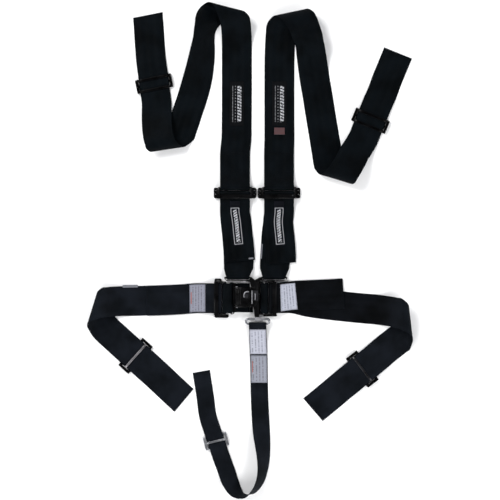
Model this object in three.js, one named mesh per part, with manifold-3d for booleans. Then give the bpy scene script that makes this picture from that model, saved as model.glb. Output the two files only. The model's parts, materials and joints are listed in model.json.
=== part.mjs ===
// A five-point racing harness, laid out flat on a floor at z = 0.
// Millimetres. The origin is on the floor under the middle of the link's post, where all the belts meet.
// +Y runs towards the shoulder belts' ends, +X towards the belt of the link, +Z up.
import * as THREE from "three";
import { mergeVertices } from "three/addons/utils/BufferGeometryUtils.js";
import Module from "manifold-3d";

const wasm = await Module();
wasm.setup();

// ---- Driving dimensions ----
const WIDE = 76.2; // 3 inch webbing of the shoulder and lap belts
const NARROW = 44.45; // 1 3/4 inch webbing of the crotch belt
const AT_TANG = 58; // the shoulder webbing, gathered where it passes through its tang
const THICK = 1.6;
const GAP = 0.3; // between neighbouring pieces
const FLOOR = THICK / 2; // centre height of webbing that lies on the floor
const SECOND = FLOOR + THICK + 0.4; // of webbing that lies on a first layer
const THIRD = SECOND + THICK + 0.4;
const THREADED = 3.3; // of webbing that runs through a three-bar slide
const SHEET = THICK + GAP;

const POST_R = 4.5;
const POST_TOP = 18;
const PLATE = 2.5;
const TANG_R_Z = 3.3; // underside of each plate stacked on the post
const TANG_L_Z = 6.1;
const TONGUE_Z = 8.9;
const LATCH_Z = 11.7;
const TANG_BAR_Y = 44.5;
const TANG_BAR_HALF = 2;

const BAR_R = 3.5; // the adjuster's fixed bar
const LOCK_R = 4; // its lock bar
const BAR_U = 10.5; // their places along the belt, and height
const LOCK_U = -2;
const BAR_Z = 8;
const EAR_IN = WIDE / 2 + 1.5;
const EAR_OUT = EAR_IN + 3;

// Each adjuster's middle, the direction of its belt, and its wings: how far out they reach, their underside,
// and the stretch of the belt that each covers, on its right and on its left.
const ADJUSTERS = {
  sl: { at: [-49.7, 261.4], along: 90, wing: 54, wingZ: 2.2, wings: [[-15, 12], [-15, 12]] },
  sr: { at: [62.5, 261.4], along: 90, wing: 54, wingZ: 2.2, wings: [[-15, 12], [-15, 12]] },
  ll: { at: [-87, -8], along: 0, wing: 50, wingZ: 0.2, wings: [[-15, 21], [-15, 3]] },
  lr: { at: [40, -8], along: 180, wing: 46.5, wingZ: 0.2, wings: [[-12, 12], [-17, 17.5]] },
};

// Three-bar slides: centre, direction of the webbing, half width between the rails, which bars lie on top.
const SLIDES = {
  sl: { at: [-255.8, 538.6], along: 97.5, turn: 4, inner: 40, outerOnTop: true, chrome: false },
  sr: { at: [295.5, 444], along: 67.8, turn: 0, inner: 40, outerOnTop: true, chrome: false },
  ll: { at: [-303, -155], along: -42, turn: 0, inner: 40, outerOnTop: false, chrome: false },
  lr: { at: [274.6, -188.7], along: -140.5, turn: -2, inner: 40, outerOnTop: false, chrome: false },
  cr: { at: [-98.2, -372.3], along: 108.8, turn: -5, inner: 24.2, outerOnTop: false, chrome: true },
};

// ---- Materials ----
const material = (color, roughness, metalness = 0) =>
  new THREE.MeshStandardMaterial({ color, roughness, metalness });
const webbing = material(0x15171d, 0.85);
const steel = material(0x1b1c20, 0.4, 0.6);
const chrome = material(0xd4d6d8, 0.15, 1);
const label = material(0xcfd0d2, 0.7);
const patchCloth = material(0x23252b, 0.8);

const root = new THREE.Group();
const rad = THREE.MathUtils.degToRad;

function add(name, geometry, look) {
  const mesh = new THREE.Mesh(geometry, look);
  mesh.name = name;
  root.add(mesh);
  return mesh;
}

// ---- Solids ----
function toSolid(geometry) {
  const g = geometry.clone();
  g.deleteAttribute("normal");
  g.deleteAttribute("uv");
  const merged = mergeVertices(g, 1e-4);
  return new wasm.Manifold(
    new wasm.Mesh({
      numProp: 3,
      vertProperties: merged.attributes.position.array,
      triVerts: new Uint32Array(merged.index.array),
    }),
  );
}

function toGeometry(solid) {
  const mesh = solid.getMesh();
  const g = new THREE.BufferGeometry();
  g.setAttribute("position", new THREE.BufferAttribute(mesh.vertProperties, 3));
  g.setIndex(new THREE.BufferAttribute(mesh.triVerts, 1));
  g.computeVertexNormals();
  return g;
}

function join(pieces, cuts = []) {
  let solid = toSolid(pieces[0]);
  for (const piece of pieces.slice(1)) solid = solid.add(toSolid(piece));
  for (const cut of cuts) solid = solid.subtract(toSolid(cut));
  return toGeometry(solid);
}

// A box given by its low and high corners.
function box(low, high) {
  const size = high.map((h, i) => h - low[i]);
  const g = new THREE.BoxGeometry(...size);
  return g.translate(...low.map((l, i) => l + size[i] / 2));
}

// A flat plate with a rounded outline, from corner points [x, y, radius].
function plate(corners, low, high) {
  const shape = new THREE.Shape();
  const n = corners.length;
  corners.forEach(([x, y, r = 0.01], i) => {
    const corner = new THREE.Vector2(x, y);
    const before = new THREE.Vector2(...corners[(i + n - 1) % n].slice(0, 2));
    const after = new THREE.Vector2(...corners[(i + 1) % n].slice(0, 2));
    const cut = (other) => {
      const way = other.clone().sub(corner);
      const reach = Math.min(r, way.length() * 0.48);
      return corner.clone().add(way.setLength(reach));
    };
    const start = cut(before);
    const end = cut(after);
    if (i === 0) shape.moveTo(start.x, start.y);
    else shape.lineTo(start.x, start.y);
    if (r > 0.1) shape.quadraticCurveTo(x, y, end.x, end.y);
  });
  const g = new THREE.ExtrudeGeometry(shape, {
    depth: high - low,
    bevelEnabled: false,
    curveSegments: 4,
  });
  return g.translate(0, 0, low);
}

// A round bar between two points.
function bar(from, to, radius, sides = 16) {
  const a = new THREE.Vector3(...from);
  const b = new THREE.Vector3(...to);
  const g = new THREE.CylinderGeometry(radius, radius, a.distanceTo(b), sides);
  const way = b.clone().sub(a).normalize();
  g.applyQuaternion(
    new THREE.Quaternion().setFromUnitVectors(new THREE.Vector3(0, 1, 0), way),
  );
  const middle = a.add(b).multiplyScalar(0.5);
  return g.translate(middle.x, middle.y, middle.z);
}

function disc(x, y, low, high, radius, sides = 24) {
  return bar([x, y, low], [x, y, high], radius, sides);
}

function placed(geometry, at, degrees) {
  return geometry.rotateZ(rad(degrees)).translate(at[0], at[1], 0);
}

// ---- Webbing ----
// A station is [x, y, height, direction of the cross line, its tilt, width]: the cross line runs from edge to
// edge of the webbing. A tilted station stands on its lower edge, so its centre is that much higher.
function station([x, y, height, direction, tilt = 0, width], wide) {
  const w = width || wide;
  const across = new THREE.Vector3(
    Math.cos(rad(tilt)) * Math.cos(rad(direction)),
    Math.cos(rad(tilt)) * Math.sin(rad(direction)),
    Math.sin(rad(tilt)),
  );
  const lift = (w / 2) * Math.abs(Math.sin(rad(tilt)));
  return { at: new THREE.Vector3(x, y, height + lift), across, width: w };
}

// The cross lines of a slanted fold are longer than the webbing is wide, up to this limit at its corners.
const LEAST_SLANT = 0.93;

// A smooth run through the stations, as close cross lines with their distance along the webbing.
function run(stations, wide, step = 15) {
  const s = stations.map((one) => station(one, wide));
  const span = s.slice(1).map((one, i) => one.at.distanceTo(s[i].at));
  const slope = (key, i) => {
    const before = Math.max(i - 1, 0);
    const after = Math.min(i + 1, s.length - 1);
    const h0 = span[before === i ? 0 : i - 1];
    const h1 = span[after === i ? span.length - 1 : i];
    const back = s[i][key].clone().sub(s[before][key]).divideScalar(h0);
    const on = s[after][key].clone().sub(s[i][key]).divideScalar(h1);
    if (before === i) return on;
    if (after === i) return back;
    return back.multiplyScalar(h1).add(on.multiplyScalar(h0)).divideScalar(h0 + h1);
  };
  const blend = (key, i, t, h) => {
    const t2 = t * t;
    const t3 = t2 * t;
    return s[i][key]
      .clone()
      .multiplyScalar(2 * t3 - 3 * t2 + 1)
      .addScaledVector(slope(key, i), (t3 - 2 * t2 + t) * h)
      .addScaledVector(s[i + 1][key], 3 * t2 - 2 * t3)
      .addScaledVector(slope(key, i + 1), (t3 - t2) * h);
  };
  const lines = [];
  for (let i = 0; i < span.length; i++) {
    const parts = Math.max(1, Math.ceil(span[i] / step));
    for (let k = i ? 1 : 0; k <= parts; k++) {
      const t = k / parts;
      const width = s[i].width + (s[i + 1].width - s[i].width) * t;
      const across = blend("across", i, t, span[i]).normalize();
      lines.push({ at: blend("at", i, t, span[i]), across, width });
    }
  }
  let length = 0;
  lines.forEach((line, i) => {
    const before = lines[Math.max(i - 1, 0)].at;
    const after = lines[Math.min(i + 1, lines.length - 1)].at;
    const way = after.clone().sub(before).normalize();
    line.normal = way.clone().cross(line.across).normalize();
    const slant = way.clone().cross(line.across).length();
    line.half = line.width / 2 / Math.max(slant, LEAST_SLANT);
    const drop = line.half * Math.abs(line.across.z) + (THICK / 2) * Math.abs(line.normal.z);
    line.at.z = Math.max(line.at.z, drop);
    if (i) length += line.at.distanceTo(lines[i - 1].at);
    line.along = length;
  });
  return lines;
}

// The part of a run between two distances along it.
function stretch(lines, from, to) {
  const at = (d) => {
    const i = Math.min(
      Math.max(lines.findIndex((line) => line.along > d), 1),
      lines.length - 1,
    );
    const a = lines[i - 1];
    const b = lines[i];
    const t = (d - a.along) / (b.along - a.along);
    return {
      at: a.at.clone().lerp(b.at, t),
      across: a.across.clone().lerp(b.across, t).normalize(),
      normal: a.normal.clone().lerp(b.normal, t).normalize(),
      half: a.half + (b.half - a.half) * t,
      along: d,
    };
  };
  const inside = lines.filter((l) => l.along > from + 0.5 && l.along < to - 0.5);
  return [at(from), ...inside, at(to)];
}

// A closed strip on a run. left and right are its edges as shares of the half width, low and high its faces.
function strip(lines, left, right, low, high) {
  const points = [];
  for (const line of lines)
    for (const [side, face] of [
      [left, low],
      [right, low],
      [right, high],
      [left, high],
    ])
      points.push(
        ...line.at
          .clone()
          .addScaledVector(line.across, side * line.half)
          .addScaledVector(line.normal, face)
          .toArray(),
      );
  const index = [];
  const quad = (a, b, c, d) => index.push(a, b, c, a, c, d);
  const last = (lines.length - 1) * 4;
  for (let i = 0; i < last; i += 4)
    for (let k = 0; k < 4; k++) {
      const next = (k + 1) % 4;
      quad(i + k, i + next, i + 4 + next, i + 4 + k);
    }
  quad(0, 3, 2, 1);
  quad(last, last + 1, last + 2, last + 3);
  const g = new THREE.BufferGeometry();
  g.setAttribute("position", new THREE.Float32BufferAttribute(points, 3));
  g.setIndex(index);
  return toSolid(g).volume() < 0 ? flipped(g, index) : g;
}

function flipped(g, index) {
  for (let i = 0; i < index.length; i += 3)
    [index[i], index[i + 1]] = [index[i + 1], index[i]];
  return g.setIndex(index);
}

const belt = (lines) => strip(lines, -1, 1, -THICK / 2, THICK / 2);

// A flat piece sewn on the upper face of a run, or on another piece of that thickness, base, on it.
function sewnOn(lines, from, to, left, right, thick = 0.5, base = 0) {
  const piece = stretch(lines, from, to);
  const up = piece[0].normal.z > 0 ? 1 : -1;
  const low = THICK / 2 + GAP + base;
  const faces = [low * up, (low + thick) * up].sort((a, b) => a - b);
  return strip(piece, left, right, ...faces);
}

// The distance along a run of the cross line nearest to a point, on the upper pass if it passes twice.
function nearest(lines, x, y, z = 0) {
  const target = new THREE.Vector3(x, y, z);
  let best = lines[0];
  for (const line of lines)
    if (line.at.distanceTo(target) < best.at.distanceTo(target)) best = line;
  return best.along;
}

// ---- Adjusters ----
// A station in an adjuster's own frame: u along the belt towards the fixed bar, height z.
function onAdjuster(key, u, z, direction, width) {
  const { at, along } = ADJUSTERS[key];
  const c = Math.cos(rad(along));
  const s = Math.sin(rad(along));
  return [at[0] + u * c, at[1] + u * s, z, direction, 0, width];
}

const HALF_TURN = [-90, -60, -30, 0, 30, 60, 90];

// Round half a bar: from below to above, going round the side that sign gives.
function around(key, u, barZ, radius, sign, direction) {
  return HALF_TURN.map((angle) =>
    onAdjuster(
      key,
      u + sign * radius * Math.cos(rad(angle)),
      barZ + radius * Math.sin(rad(angle)),
      direction,
    ),
  );
}

const WRAP_FIXED = BAR_R + SHEET - THICK / 2;
const WRAP_LOCK = LOCK_R + SHEET - THICK / 2;

function adjuster(key) {
  const { at, along, wing, wingZ, wings } = ADJUSTERS[key];
  const pieces = [];
  const cuts = [];
  const slot = { from: LOCK_U - 5.5, to: LOCK_U + 5.5, low: BAR_Z - 3, high: BAR_Z + 3 };
  for (const side of [-1, 1]) {
    const span = (a, b) => [Math.min(side * a, side * b), Math.max(side * a, side * b)];
    const [earLow, earHigh] = span(EAR_IN, EAR_OUT);
    const ear = plate(
      [[-14, 0.3, 1], [14, 0.3, 1], [14, 12, 4], [8, 14.5, 4], [-4, 17, 1], [-16, 17, 1], [-16, 9, 4]],
      -earHigh,
      -earLow,
    );
    pieces.push(ear.rotateX(Math.PI / 2));
    const [wingLow, wingHigh] = span(EAR_OUT - 1, wing);
    const round = Math.min(4, (wing - EAR_OUT) * 0.9);
    const [wingFrom, wingTo] = wings[side > 0 ? 1 : 0];
    const outer = side > 0 ? [0.1, round] : [round, 0.1];
    pieces.push(
      plate(
        [
          [wingFrom, wingLow, outer[0]],
          [wingTo, wingLow, outer[0]],
          [wingTo, wingHigh, outer[1]],
          [wingFrom, wingHigh, outer[1]],
        ],
        wingZ,
        wingZ + 2.8,
      ),
    );
    cuts.push(box([slot.from, earLow - 1, slot.low], [slot.to, earHigh + 1, slot.high]));
    if (wing > 52)
      for (const u of [-5, 5]) cuts.push(disc(u, side * (wing - 5), 1, 7, 1.6, 12));
  }
  pieces.push(bar([BAR_U, -EAR_IN - 1, BAR_Z], [BAR_U, EAR_IN + 1, BAR_Z], BAR_R));
  pieces.push(box([-14, -EAR_IN - 1, 0.3], [-10, EAR_IN + 1, 1.5]));
  pieces.push(box([-16, -EAR_IN - 1, 14.8], [-5.5, EAR_IN + 1, 17]));
  return placed(join(pieces, cuts), at, along);
}

function lockBar(key) {
  const { at, along } = ADJUSTERS[key];
  const roller = bar([LOCK_U, -EAR_IN + 0.6, BAR_Z], [LOCK_U, EAR_IN - 0.6, BAR_Z], LOCK_R);
  const tenon = box(
    [LOCK_U - 2.5, -EAR_OUT - 1.5, BAR_Z - 2],
    [LOCK_U + 2.5, EAR_OUT + 1.5, BAR_Z + 2],
  );
  return placed(join([roller, tenon]), at, along);
}

for (const key of Object.keys(ADJUSTERS)) {
  add(`${key}_adjuster`, adjuster(key), steel);
  add(`${key}_lock_bar`, lockBar(key), steel);
}

// ---- Three-bar slides ----
function slide(key) {
  const { at, along, turn, inner, outerOnTop } = SLIDES[key];
  const low = [0.1, THREADED - THICK / 2 - GAP];
  const high = [THREADED + THICK / 2 + GAP, THREADED + THICK / 2 + GAP + 2.6];
  const [outer, centre] = outerOnTop ? [high, low] : [low, high];
  const half = 17.5;
  const rail = 6.5;
  const end = inner + rail;
  const pieces = [];
  for (const side of [-1, 1]) {
    const a = side > 0 ? inner : -end;
    pieces.push(
      plate(
        [
          [-half, a, side > 0 ? 0.1 : 5],
          [half, a, side > 0 ? 0.1 : 5],
          [half, a + rail, side > 0 ? 5 : 0.1],
          [-half, a + rail, side > 0 ? 5 : 0.1],
        ],
        0.1,
        high[1],
      ),
    );
    const b = side > 0 ? half - 7 : -half;
    pieces.push(box([b, -inner - 1, outer[0]], [b + 7, inner + 1, outer[1]]));
  }
  pieces.push(box([-3, -inner - 1, centre[0]], [3, inner + 1, centre[1]]));
  return placed(join(pieces), at, along + turn);
}

for (const key of Object.keys(SLIDES))
  add(`${key}_slide`, slide(key), SLIDES[key].chrome ? chrome : steel);

// Stations of the straight stretch through a slide, in the direction of the webbing.
function threaded(key, before, after, direction) {
  const { at, along } = SLIDES[key];
  const c = Math.cos(rad(along));
  const s = Math.sin(rad(along));
  return [-before, -before / 2, 0, after / 2, after].map((d) => [
    at[0] + d * c,
    at[1] + d * s,
    THREADED,
    direction,
  ]);
}

// ---- Shoulder belts ----
// The upper webbing: sewn round the adjuster's fixed bar, up, over in a half twist, down, over in another half
// twist, and up through the three-bar slide to its cut end.
const upperLeft = run(
  [
    onAdjuster("sl", 96, FLOOR, 0),
    onAdjuster("sl", 60, FLOOR, 0),
    onAdjuster("sl", 32, 1.1, 0),
    onAdjuster("sl", 20, 2.6, 0),
    ...around("sl", BAR_U, BAR_Z, WRAP_FIXED, -1, 0),
    onAdjuster("sl", 22, 10.6, 0),
    onAdjuster("sl", 40, 5.4, 0),
    onAdjuster("sl", 60, 3.1, 0),
    onAdjuster("sl", 98, SECOND, 0),
    [-46, 400, 1.6, 0],
    [-45.4, 440, FLOOR, 0],
    [-45, 540, FLOOR, 0],
    [-45, 610, FLOOR, 0],
    [-45, 640, 3, 0],
    [-46, 668, 12, 0],
    [-49, 695, 24, -3],
    [-56, 716, 33, -8],
    [-67, 730, 31, -13],
    [-79, 733, 18, -17],
    [-93, 725, 7, -20],
    [-108, 710, 2, -15, -20],
    [-120, 690, FLOOR, -6, -40],
    [-126.5, 670, FLOOR, 0, -46],
    [-129, 650, FLOOR, 0, -45],
    [-131.6, 625, FLOOR, -5, -37],
    [-136, 594, FLOOR, -9, -28],
    [-142, 563.6, FLOOR, -11, -19],
    [-149.7, 533, FLOOR, -12, -8],
    [-159, 502, FLOOR, -12.6],
    [-169, 472, FLOOR, -13],
    [-180, 438, FLOOR, -12],
    [-193, 405, FLOOR, -8],
    [-208, 383, 5, 2],
    [-222, 371, 18, 9],
    [-235, 379, 31, 10],
    [-243, 398, 31, 9.5],
    [-247, 420, 22, 8],
    [-249, 444, 11, 7.5],
    [-249.3, 467, 5, 7.5],
    ...threaded("sl", 50, 50, 7.5),
    [-264.5, 606, 2.4, 7],
    [-265.6, 622, 1.2, 6.5],
    [-267, 640, FLOOR, 6],
    [-269.8, 684, FLOOR, 7],
    [-272, 714, FLOOR, 11],
  ],
  WIDE,
);
add("sl_upper_webbing", belt(upperLeft), webbing);

const upperRight = run(
  [
    onAdjuster("sr", 96, FLOOR, 180),
    onAdjuster("sr", 60, FLOOR, 180),
    onAdjuster("sr", 32, 1.1, 180),
    onAdjuster("sr", 20, 2.6, 180),
    ...around("sr", BAR_U, BAR_Z, WRAP_FIXED, -1, 180),
    onAdjuster("sr", 22, 10.6, 180),
    onAdjuster("sr", 40, 5.4, 180),
    onAdjuster("sr", 60, 3.1, 180),
    onAdjuster("sr", 98, SECOND, 180),
    [63.5, 400, 1.6, 180],
    [63.5, 440, FLOOR, 180],
    [63.5, 540, FLOOR, 180],
    [64.5, 625, FLOOR, 180],
    [66, 655, FLOOR, 181],
    [69.5, 684, FLOOR, 184],
    [78, 706, 6, 188],
    [92, 719, 18, 192],
    [107, 712, 31, 194],
    [121, 693, 32, 195],
    [131, 669, 24, 194],
    [139.5, 642, 6, 190, -20],
    [144.5, 612, FLOOR, 189, -12],
    [148.5, 585, FLOOR, 189, -4],
    [152, 560, FLOOR, 188.5],
    [161.7, 502, FLOOR, 189],
    [171.5, 441, FLOOR, 189],
    [176.7, 410.6, FLOOR, 189],
    [183.5, 368, FLOOR, 187],
    [189, 336, FLOOR, 182],
    [197, 311, 5, 172],
    [208, 295, 18, 163],
    [219, 302, 31, 158],
    [231, 319, 31, 155],
    [245, 343, 22, 155],
    [256, 364, 12, 157],
    [267, 381, 5.5, 158],
    ...threaded("sr", 50, 50, 157.8),
    [322.5, 508, 2.4, 158],
    [328.5, 523, 1.2, 158],
    [334.5, 540, FLOOR, 158],
    [350, 578, FLOOR, 158],
    [366, 617, FLOOR, 158],
  ],
  WIDE,
);
add("sr_upper_webbing", belt(upperRight), webbing);

// The lower webbing: sewn round the tang's bar, up under the adjuster's lock bar, round it and back as the
// tail, whose end drifts sideways. Above the tang the webbing lies a little to one side, by bulge.
function lowerWebbing(key, barX, tangZ, tailEnd, drift, bulge) {
  const { at } = ADJUSTERS[key];
  const barZ = tangZ + PLATE / 2;
  const wrap = 2.36 + SHEET - THICK / 2;
  const ring = HALF_TURN.map((angle) => [
    barX,
    TANG_BAR_Y - wrap * Math.cos(rad(angle)),
    barZ + wrap * Math.sin(rad(angle)),
    0,
    0,
    AT_TANG,
  ]);
  const ease = (y) => barX + ((at[0] - barX) * (y - TANG_BAR_Y)) / (at[1] - TANG_BAR_Y);
  const top = barZ + wrap;
  const lean = 5;
  return run(
    [
      [ease(112) + bulge, 112, FLOOR, 0, 0, WIDE - 2],
      [ease(84) + bulge, 84, FLOOR, 0, 0, WIDE - 2],
      [ease(68) + 0.8 * bulge, 68, 0.6 * FLOOR + 0.4 * (barZ - wrap), 0, 0, 74.5],
      [ease(55) + 0.3 * bulge, 55, barZ - wrap - 0.3, 0, 0, 65],
      ...ring,
      [ease(55) + 0.3 * bulge, 55, 0.85 * top + 0.6, 0, 0, 65],
      [ease(68) + 0.8 * bulge, 68, 0.35 * top + 2.3, 0, 0, 74.5],
      [ease(84) + bulge, 84, SECOND + 0.2, 0, 0, WIDE],
      [ease(114) + bulge, 114, SECOND, 0, 0, WIDE],
      [ease(130), 130, 1.8, 0, 0, WIDE],
      [ease(150), 150, FLOOR, 0, 0, WIDE],
      onAdjuster(key, -50, FLOOR, 0),
      onAdjuster(key, -30, 1.7, 0),
      onAdjuster(key, -14, 2.9, 0),
      ...around(key, LOCK_U, BAR_Z, WRAP_LOCK, 1, 0),
      onAdjuster(key, -14, 11.6, 0),
      onAdjuster(key, -30, 7.8, 0),
      onAdjuster(key, -50, 4.3, lean * 0.6),
      [ease(189) + 0.15 * drift, 189, SECOND + 0.4, lean],
      [ease(160) + 0.4 * drift, 160, SECOND + 0.2, lean],
      [ease(140) + 0.6 * drift, 140, 4.1, lean],
      [ease(122) + 0.75 * drift, 122, THIRD + 0.1, lean],
      [ease(100) + 0.9 * drift, 100, THIRD + 0.1, lean],
      [ease(tailEnd) + drift, tailEnd, THIRD + 0.4, lean],
    ],
    WIDE,
  );
}
const lowerLeft = lowerWebbing("sl", -43, TANG_L_Z, 86, 8, 4);
const lowerRight = lowerWebbing("sr", 49.7, TANG_R_Z, 80, 16, 0);
add("sl_lower_webbing", belt(lowerLeft), webbing);
add("sr_lower_webbing", belt(lowerRight), webbing);

// The tangs: a slotted bar for the webbing and a neck with an eye over the post.
function tang(side, barX, low, front) {
  const middle = Math.abs(barX);
  const mirrored = (corners) => {
    const placedCorners = corners.map(([x, y, r]) => [side * x, y, r]);
    return side > 0 ? placedCorners : placedCorners.reverse();
  };
  const barTop = TANG_BAR_Y + TANG_BAR_HALF;
  const outline = mirrored([
    [-9.5, 0, 3],
    [-6, -9.5, 4],
    [6, -9.5, 4],
    [9.5, 0, 3],
    [10, 31, 3],
    [14, front, 3],
    [middle + 26, front, 3],
    [middle + 34, 41, 3],
    [middle + 34, barTop, 2],
    [middle - 34, barTop, 4],
    [-4, 36, 5],
    [-9.5, 20, 5],
  ]);
  const slot = mirrored([
    [middle - 30.5, 38.6, 1],
    [middle + 30.5, 38.6, 1],
    [middle + 30.5, TANG_BAR_Y - TANG_BAR_HALF, 1],
    [middle - 30.5, TANG_BAR_Y - TANG_BAR_HALF, 1],
  ]);
  const eye = disc(0, 0, low - 1, low + PLATE + 1, POST_R + GAP + 0.1);
  return join(
    [plate(outline, low, low + PLATE)],
    [eye, plate(slot, low - 1, low + PLATE + 1)],
  );
}
add("sl_tang", tang(-1, -43, TANG_L_Z, 34.6), steel);
add("sr_tang", tang(1, 49.7, TANG_R_Z, 36.5), steel);

// Release tabs on the tails, with their framed labels, and the patches sewn higher up the belts.
function shoulderTrim(side, lower, upper, patchX, tabEndX) {
  const tabFrom = nearest(lower, ADJUSTERS[side].at[0], 238, 10);
  const tabTo = nearest(lower, tabEndX, 124, THIRD);
  add(`${side}_release_tab`, sewnOn(lower, tabFrom, tabTo, -0.33, 0.33, 1.2), webbing);
  const labelFrom = nearest(lower, patchX, 222, 6);
  const frame = sewnOn(lower, labelFrom, tabTo - 3, -0.3, 0.3, 0.4, 1.5);
  add(`${side}_tab_label`, frame, label);
  const patch = [nearest(upper, patchX, 431), nearest(upper, patchX, 543)];
  add(`${side}_patch`, sewnOn(upper, ...patch, -0.48, 0.48), patchCloth);
}
shoulderTrim("sl", lowerLeft, upperLeft, -45, -41);
shoulderTrim("sr", lowerRight, upperRight, 63.5, 66);
const smallPatch = [nearest(upperRight, 63.5, 407), nearest(upperRight, 63.5, 427)];
add("sr_small_patch", sewnOn(upperRight, ...smallPatch, -0.35, 0.35), label);
const edgeTag = [nearest(lowerRight, 53, 94, SECOND), nearest(lowerRight, 55, 132, SECOND)];
add("sr_edge_tag", sewnOn(lowerRight, ...edgeTag, -0.97, -0.86), label);

// ---- Lap belts ----
// Each runs from its tail, round the adjuster's lock bar, out under the tail, over a slanted fold, and through
// a three-bar slide to its cut end.
// The tail may turn aside by a few degrees, and rise sideways by as many millimetres, as it leaves the lock bar.
const aside = ([x, y, ...rest], rise, share) => {
  const [z, direction] = rest;
  return [x, y + rise * share, z, direction + rise * Math.min(share, 0.9)];
};
const intoLock = (key, direction, rise) => [
  aside(onAdjuster(key, -62, SECOND + 0.4, direction), rise, 1),
  aside(onAdjuster(key, -46, 4.6, direction), rise, 0.75),
  aside(onAdjuster(key, -30, 7.8, direction), rise, 0.4),
  onAdjuster(key, -14, 11.6, direction),
  ...around(key, LOCK_U, BAR_Z, WRAP_LOCK, 1, direction).reverse(),
  onAdjuster(key, -14, 2.9, direction),
  onAdjuster(key, -30, 1.7, direction),
  onAdjuster(key, -50, FLOOR, direction),
];
const lapLeft = run(
  [
    [-276, -15, SECOND + 0.3, 94],
    [-240, -14, SECOND + 0.1, 92],
    [-190, -11.5, SECOND + 0.1, 92],
    ...intoLock("ll", 90, 0),
    [-190, -11, FLOOR, 92],
    [-250, -13.5, FLOOR, 92],
    [-300, -15, FLOOR, 92],
    [-328, -15.5, 2.4, 91],
    [-352, -16, 9, 88],
    [-375, -17.5, 20, 84],
    [-395, -21, 31, 78],
    [-408, -28, 31, 74],
    [-413, -39, 18, 72],
    [-405, -54, 5, 68],
    [-391, -72, FLOOR, 60],
    [-374, -91, FLOOR, 52],
    [-354, -109, 2, 49],
    ...threaded("ll", 45, 45, 48),
    [-261, -193, 2.2, 48],
    [-249, -204, FLOOR, 48],
    [-215, -236, FLOOR, 48],
    [-179.8, -268.8, FLOOR, 50],
  ],
  WIDE,
);
add("ll_webbing", belt(lapLeft), webbing);

const lapRight = run(
  [
    [227, 4.3, SECOND + 0.3, 93.5],
    [190, 2.2, SECOND + 0.1, 93],
    [140, 0, SECOND + 0.1, 94],
    ...intoLock("lr", 90, 6),
    [140, -18, FLOOR, 86],
    [228, -29.3, FLOOR, 84],
    [284, -34.8, FLOOR, 84.5],
    [311, -37, 2.4, 85],
    [334, -40, 9, 87],
    [356, -43.5, 20, 90],
    [376, -49, 31, 94],
    [390, -58, 31, 96],
    [397, -71, 18, 97],
    [391, -88, 5, 103],
    [378, -104, FLOOR, 114],
    [357, -121, FLOOR, 124],
    [334, -139, 2, 128.5],
    ...threaded("lr", 45, 45, 129.5),
    [231, -224.5, 2.2, 129.5],
    [219, -234.5, FLOOR, 129.5],
    [185, -263, FLOOR, 130],
    [149, -292.5, FLOOR, 130.5],
  ],
  WIDE,
);
add("lr_webbing", belt(lapRight), webbing);

const onTail = (lines, from, to, y) =>
  [nearest(lines, from, y, 7), nearest(lines, to, y, 6)].sort((a, b) => a - b);
add("ll_label", sewnOn(lapLeft, ...onTail(lapLeft, -125, -165, -11), -0.92, 0.92), label);
add("lr_label", sewnOn(lapRight, ...onTail(lapRight, 64, 107, -4), -0.92, 0.85), label);
const peek = [nearest(lapLeft, -296, -15), nearest(lapLeft, -336, -15)];
add("ll_edge_tag", sewnOn(lapLeft, ...peek, 0.9, 1.08), label);

// ---- Link, with the post ----
const LINK_BAR = [19, 5]; // x and z of the bar that its webbing goes round
const LINK_Y = ADJUSTERS.lr.at[1];
const LINK_EDGE = 14.3;
const linkPieces = [
  plate(
    [
      [-10, -9, 4],
      [0, -14, 6],
      [6, LINK_Y - 42.6, 4],
      [LINK_EDGE, LINK_Y - 42.6],
      [LINK_EDGE, LINK_Y + 42.6],
      [6, LINK_Y + 42.6, 4],
      [0, 14, 6],
      [-10, 9, 4],
    ],
    0,
    3,
  ),
  disc(0, 0, 1, POST_TOP - 1.2, POST_R),
  disc(0, 0, POST_TOP - 2, POST_TOP, POST_R - 1),
  box([17.3, LINK_Y - 41, 3.4], [20.7, LINK_Y + 41, 6.6]),
];
for (const side of [-1, 1]) {
  const y = [LINK_Y + side * 38.8, LINK_Y + side * 42.6].sort((a, b) => a - b);
  linkPieces.push(box([LINK_EDGE - 1, y[0], 0], [21, y[1], 3]));
  linkPieces.push(box([14, y[0], 0.5], [21, y[1], 6.6]));
}
add("link_plate", join(linkPieces), steel);

// A short webbing loop round two bars, [x, z, radius of its path], joined on its underside.
function loop(latchBar, beltBar, y) {
  const way = Math.sign(beltBar[0] - latchBar[0]);
  const arc = ([x, z, r], from, to) =>
    [0, 1, 2, 3, 4, 5, 6].map((n) => n / 6).map((t) => {
      const angle = rad(from + (to - from) * t);
      return [x + way * r * Math.cos(angle), y, z + r * Math.sin(angle), 90];
    });
  const middle = (t) => [
    latchBar[0] + (beltBar[0] - latchBar[0]) * t,
    y,
    latchBar[1] - latchBar[2] + (beltBar[1] - beltBar[2] - latchBar[1] + latchBar[2]) * t,
    90,
  ];
  return run(
    [
      middle(0.45),
      ...arc(latchBar, 275, 90),
      ...arc(beltBar, 90, -90),
      middle(0.6),
    ],
    WIDE,
    7,
  );
}
const FIXED_LR = ADJUSTERS.lr.at[0] - BAR_U;
const FIXED_LL = ADJUSTERS.ll.at[0] + BAR_U;
const linkLoop = loop([...LINK_BAR, 3.45], [FIXED_LR, BAR_Z, WRAP_FIXED], LINK_Y);
add("link_loop", belt(linkLoop), webbing);

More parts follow.
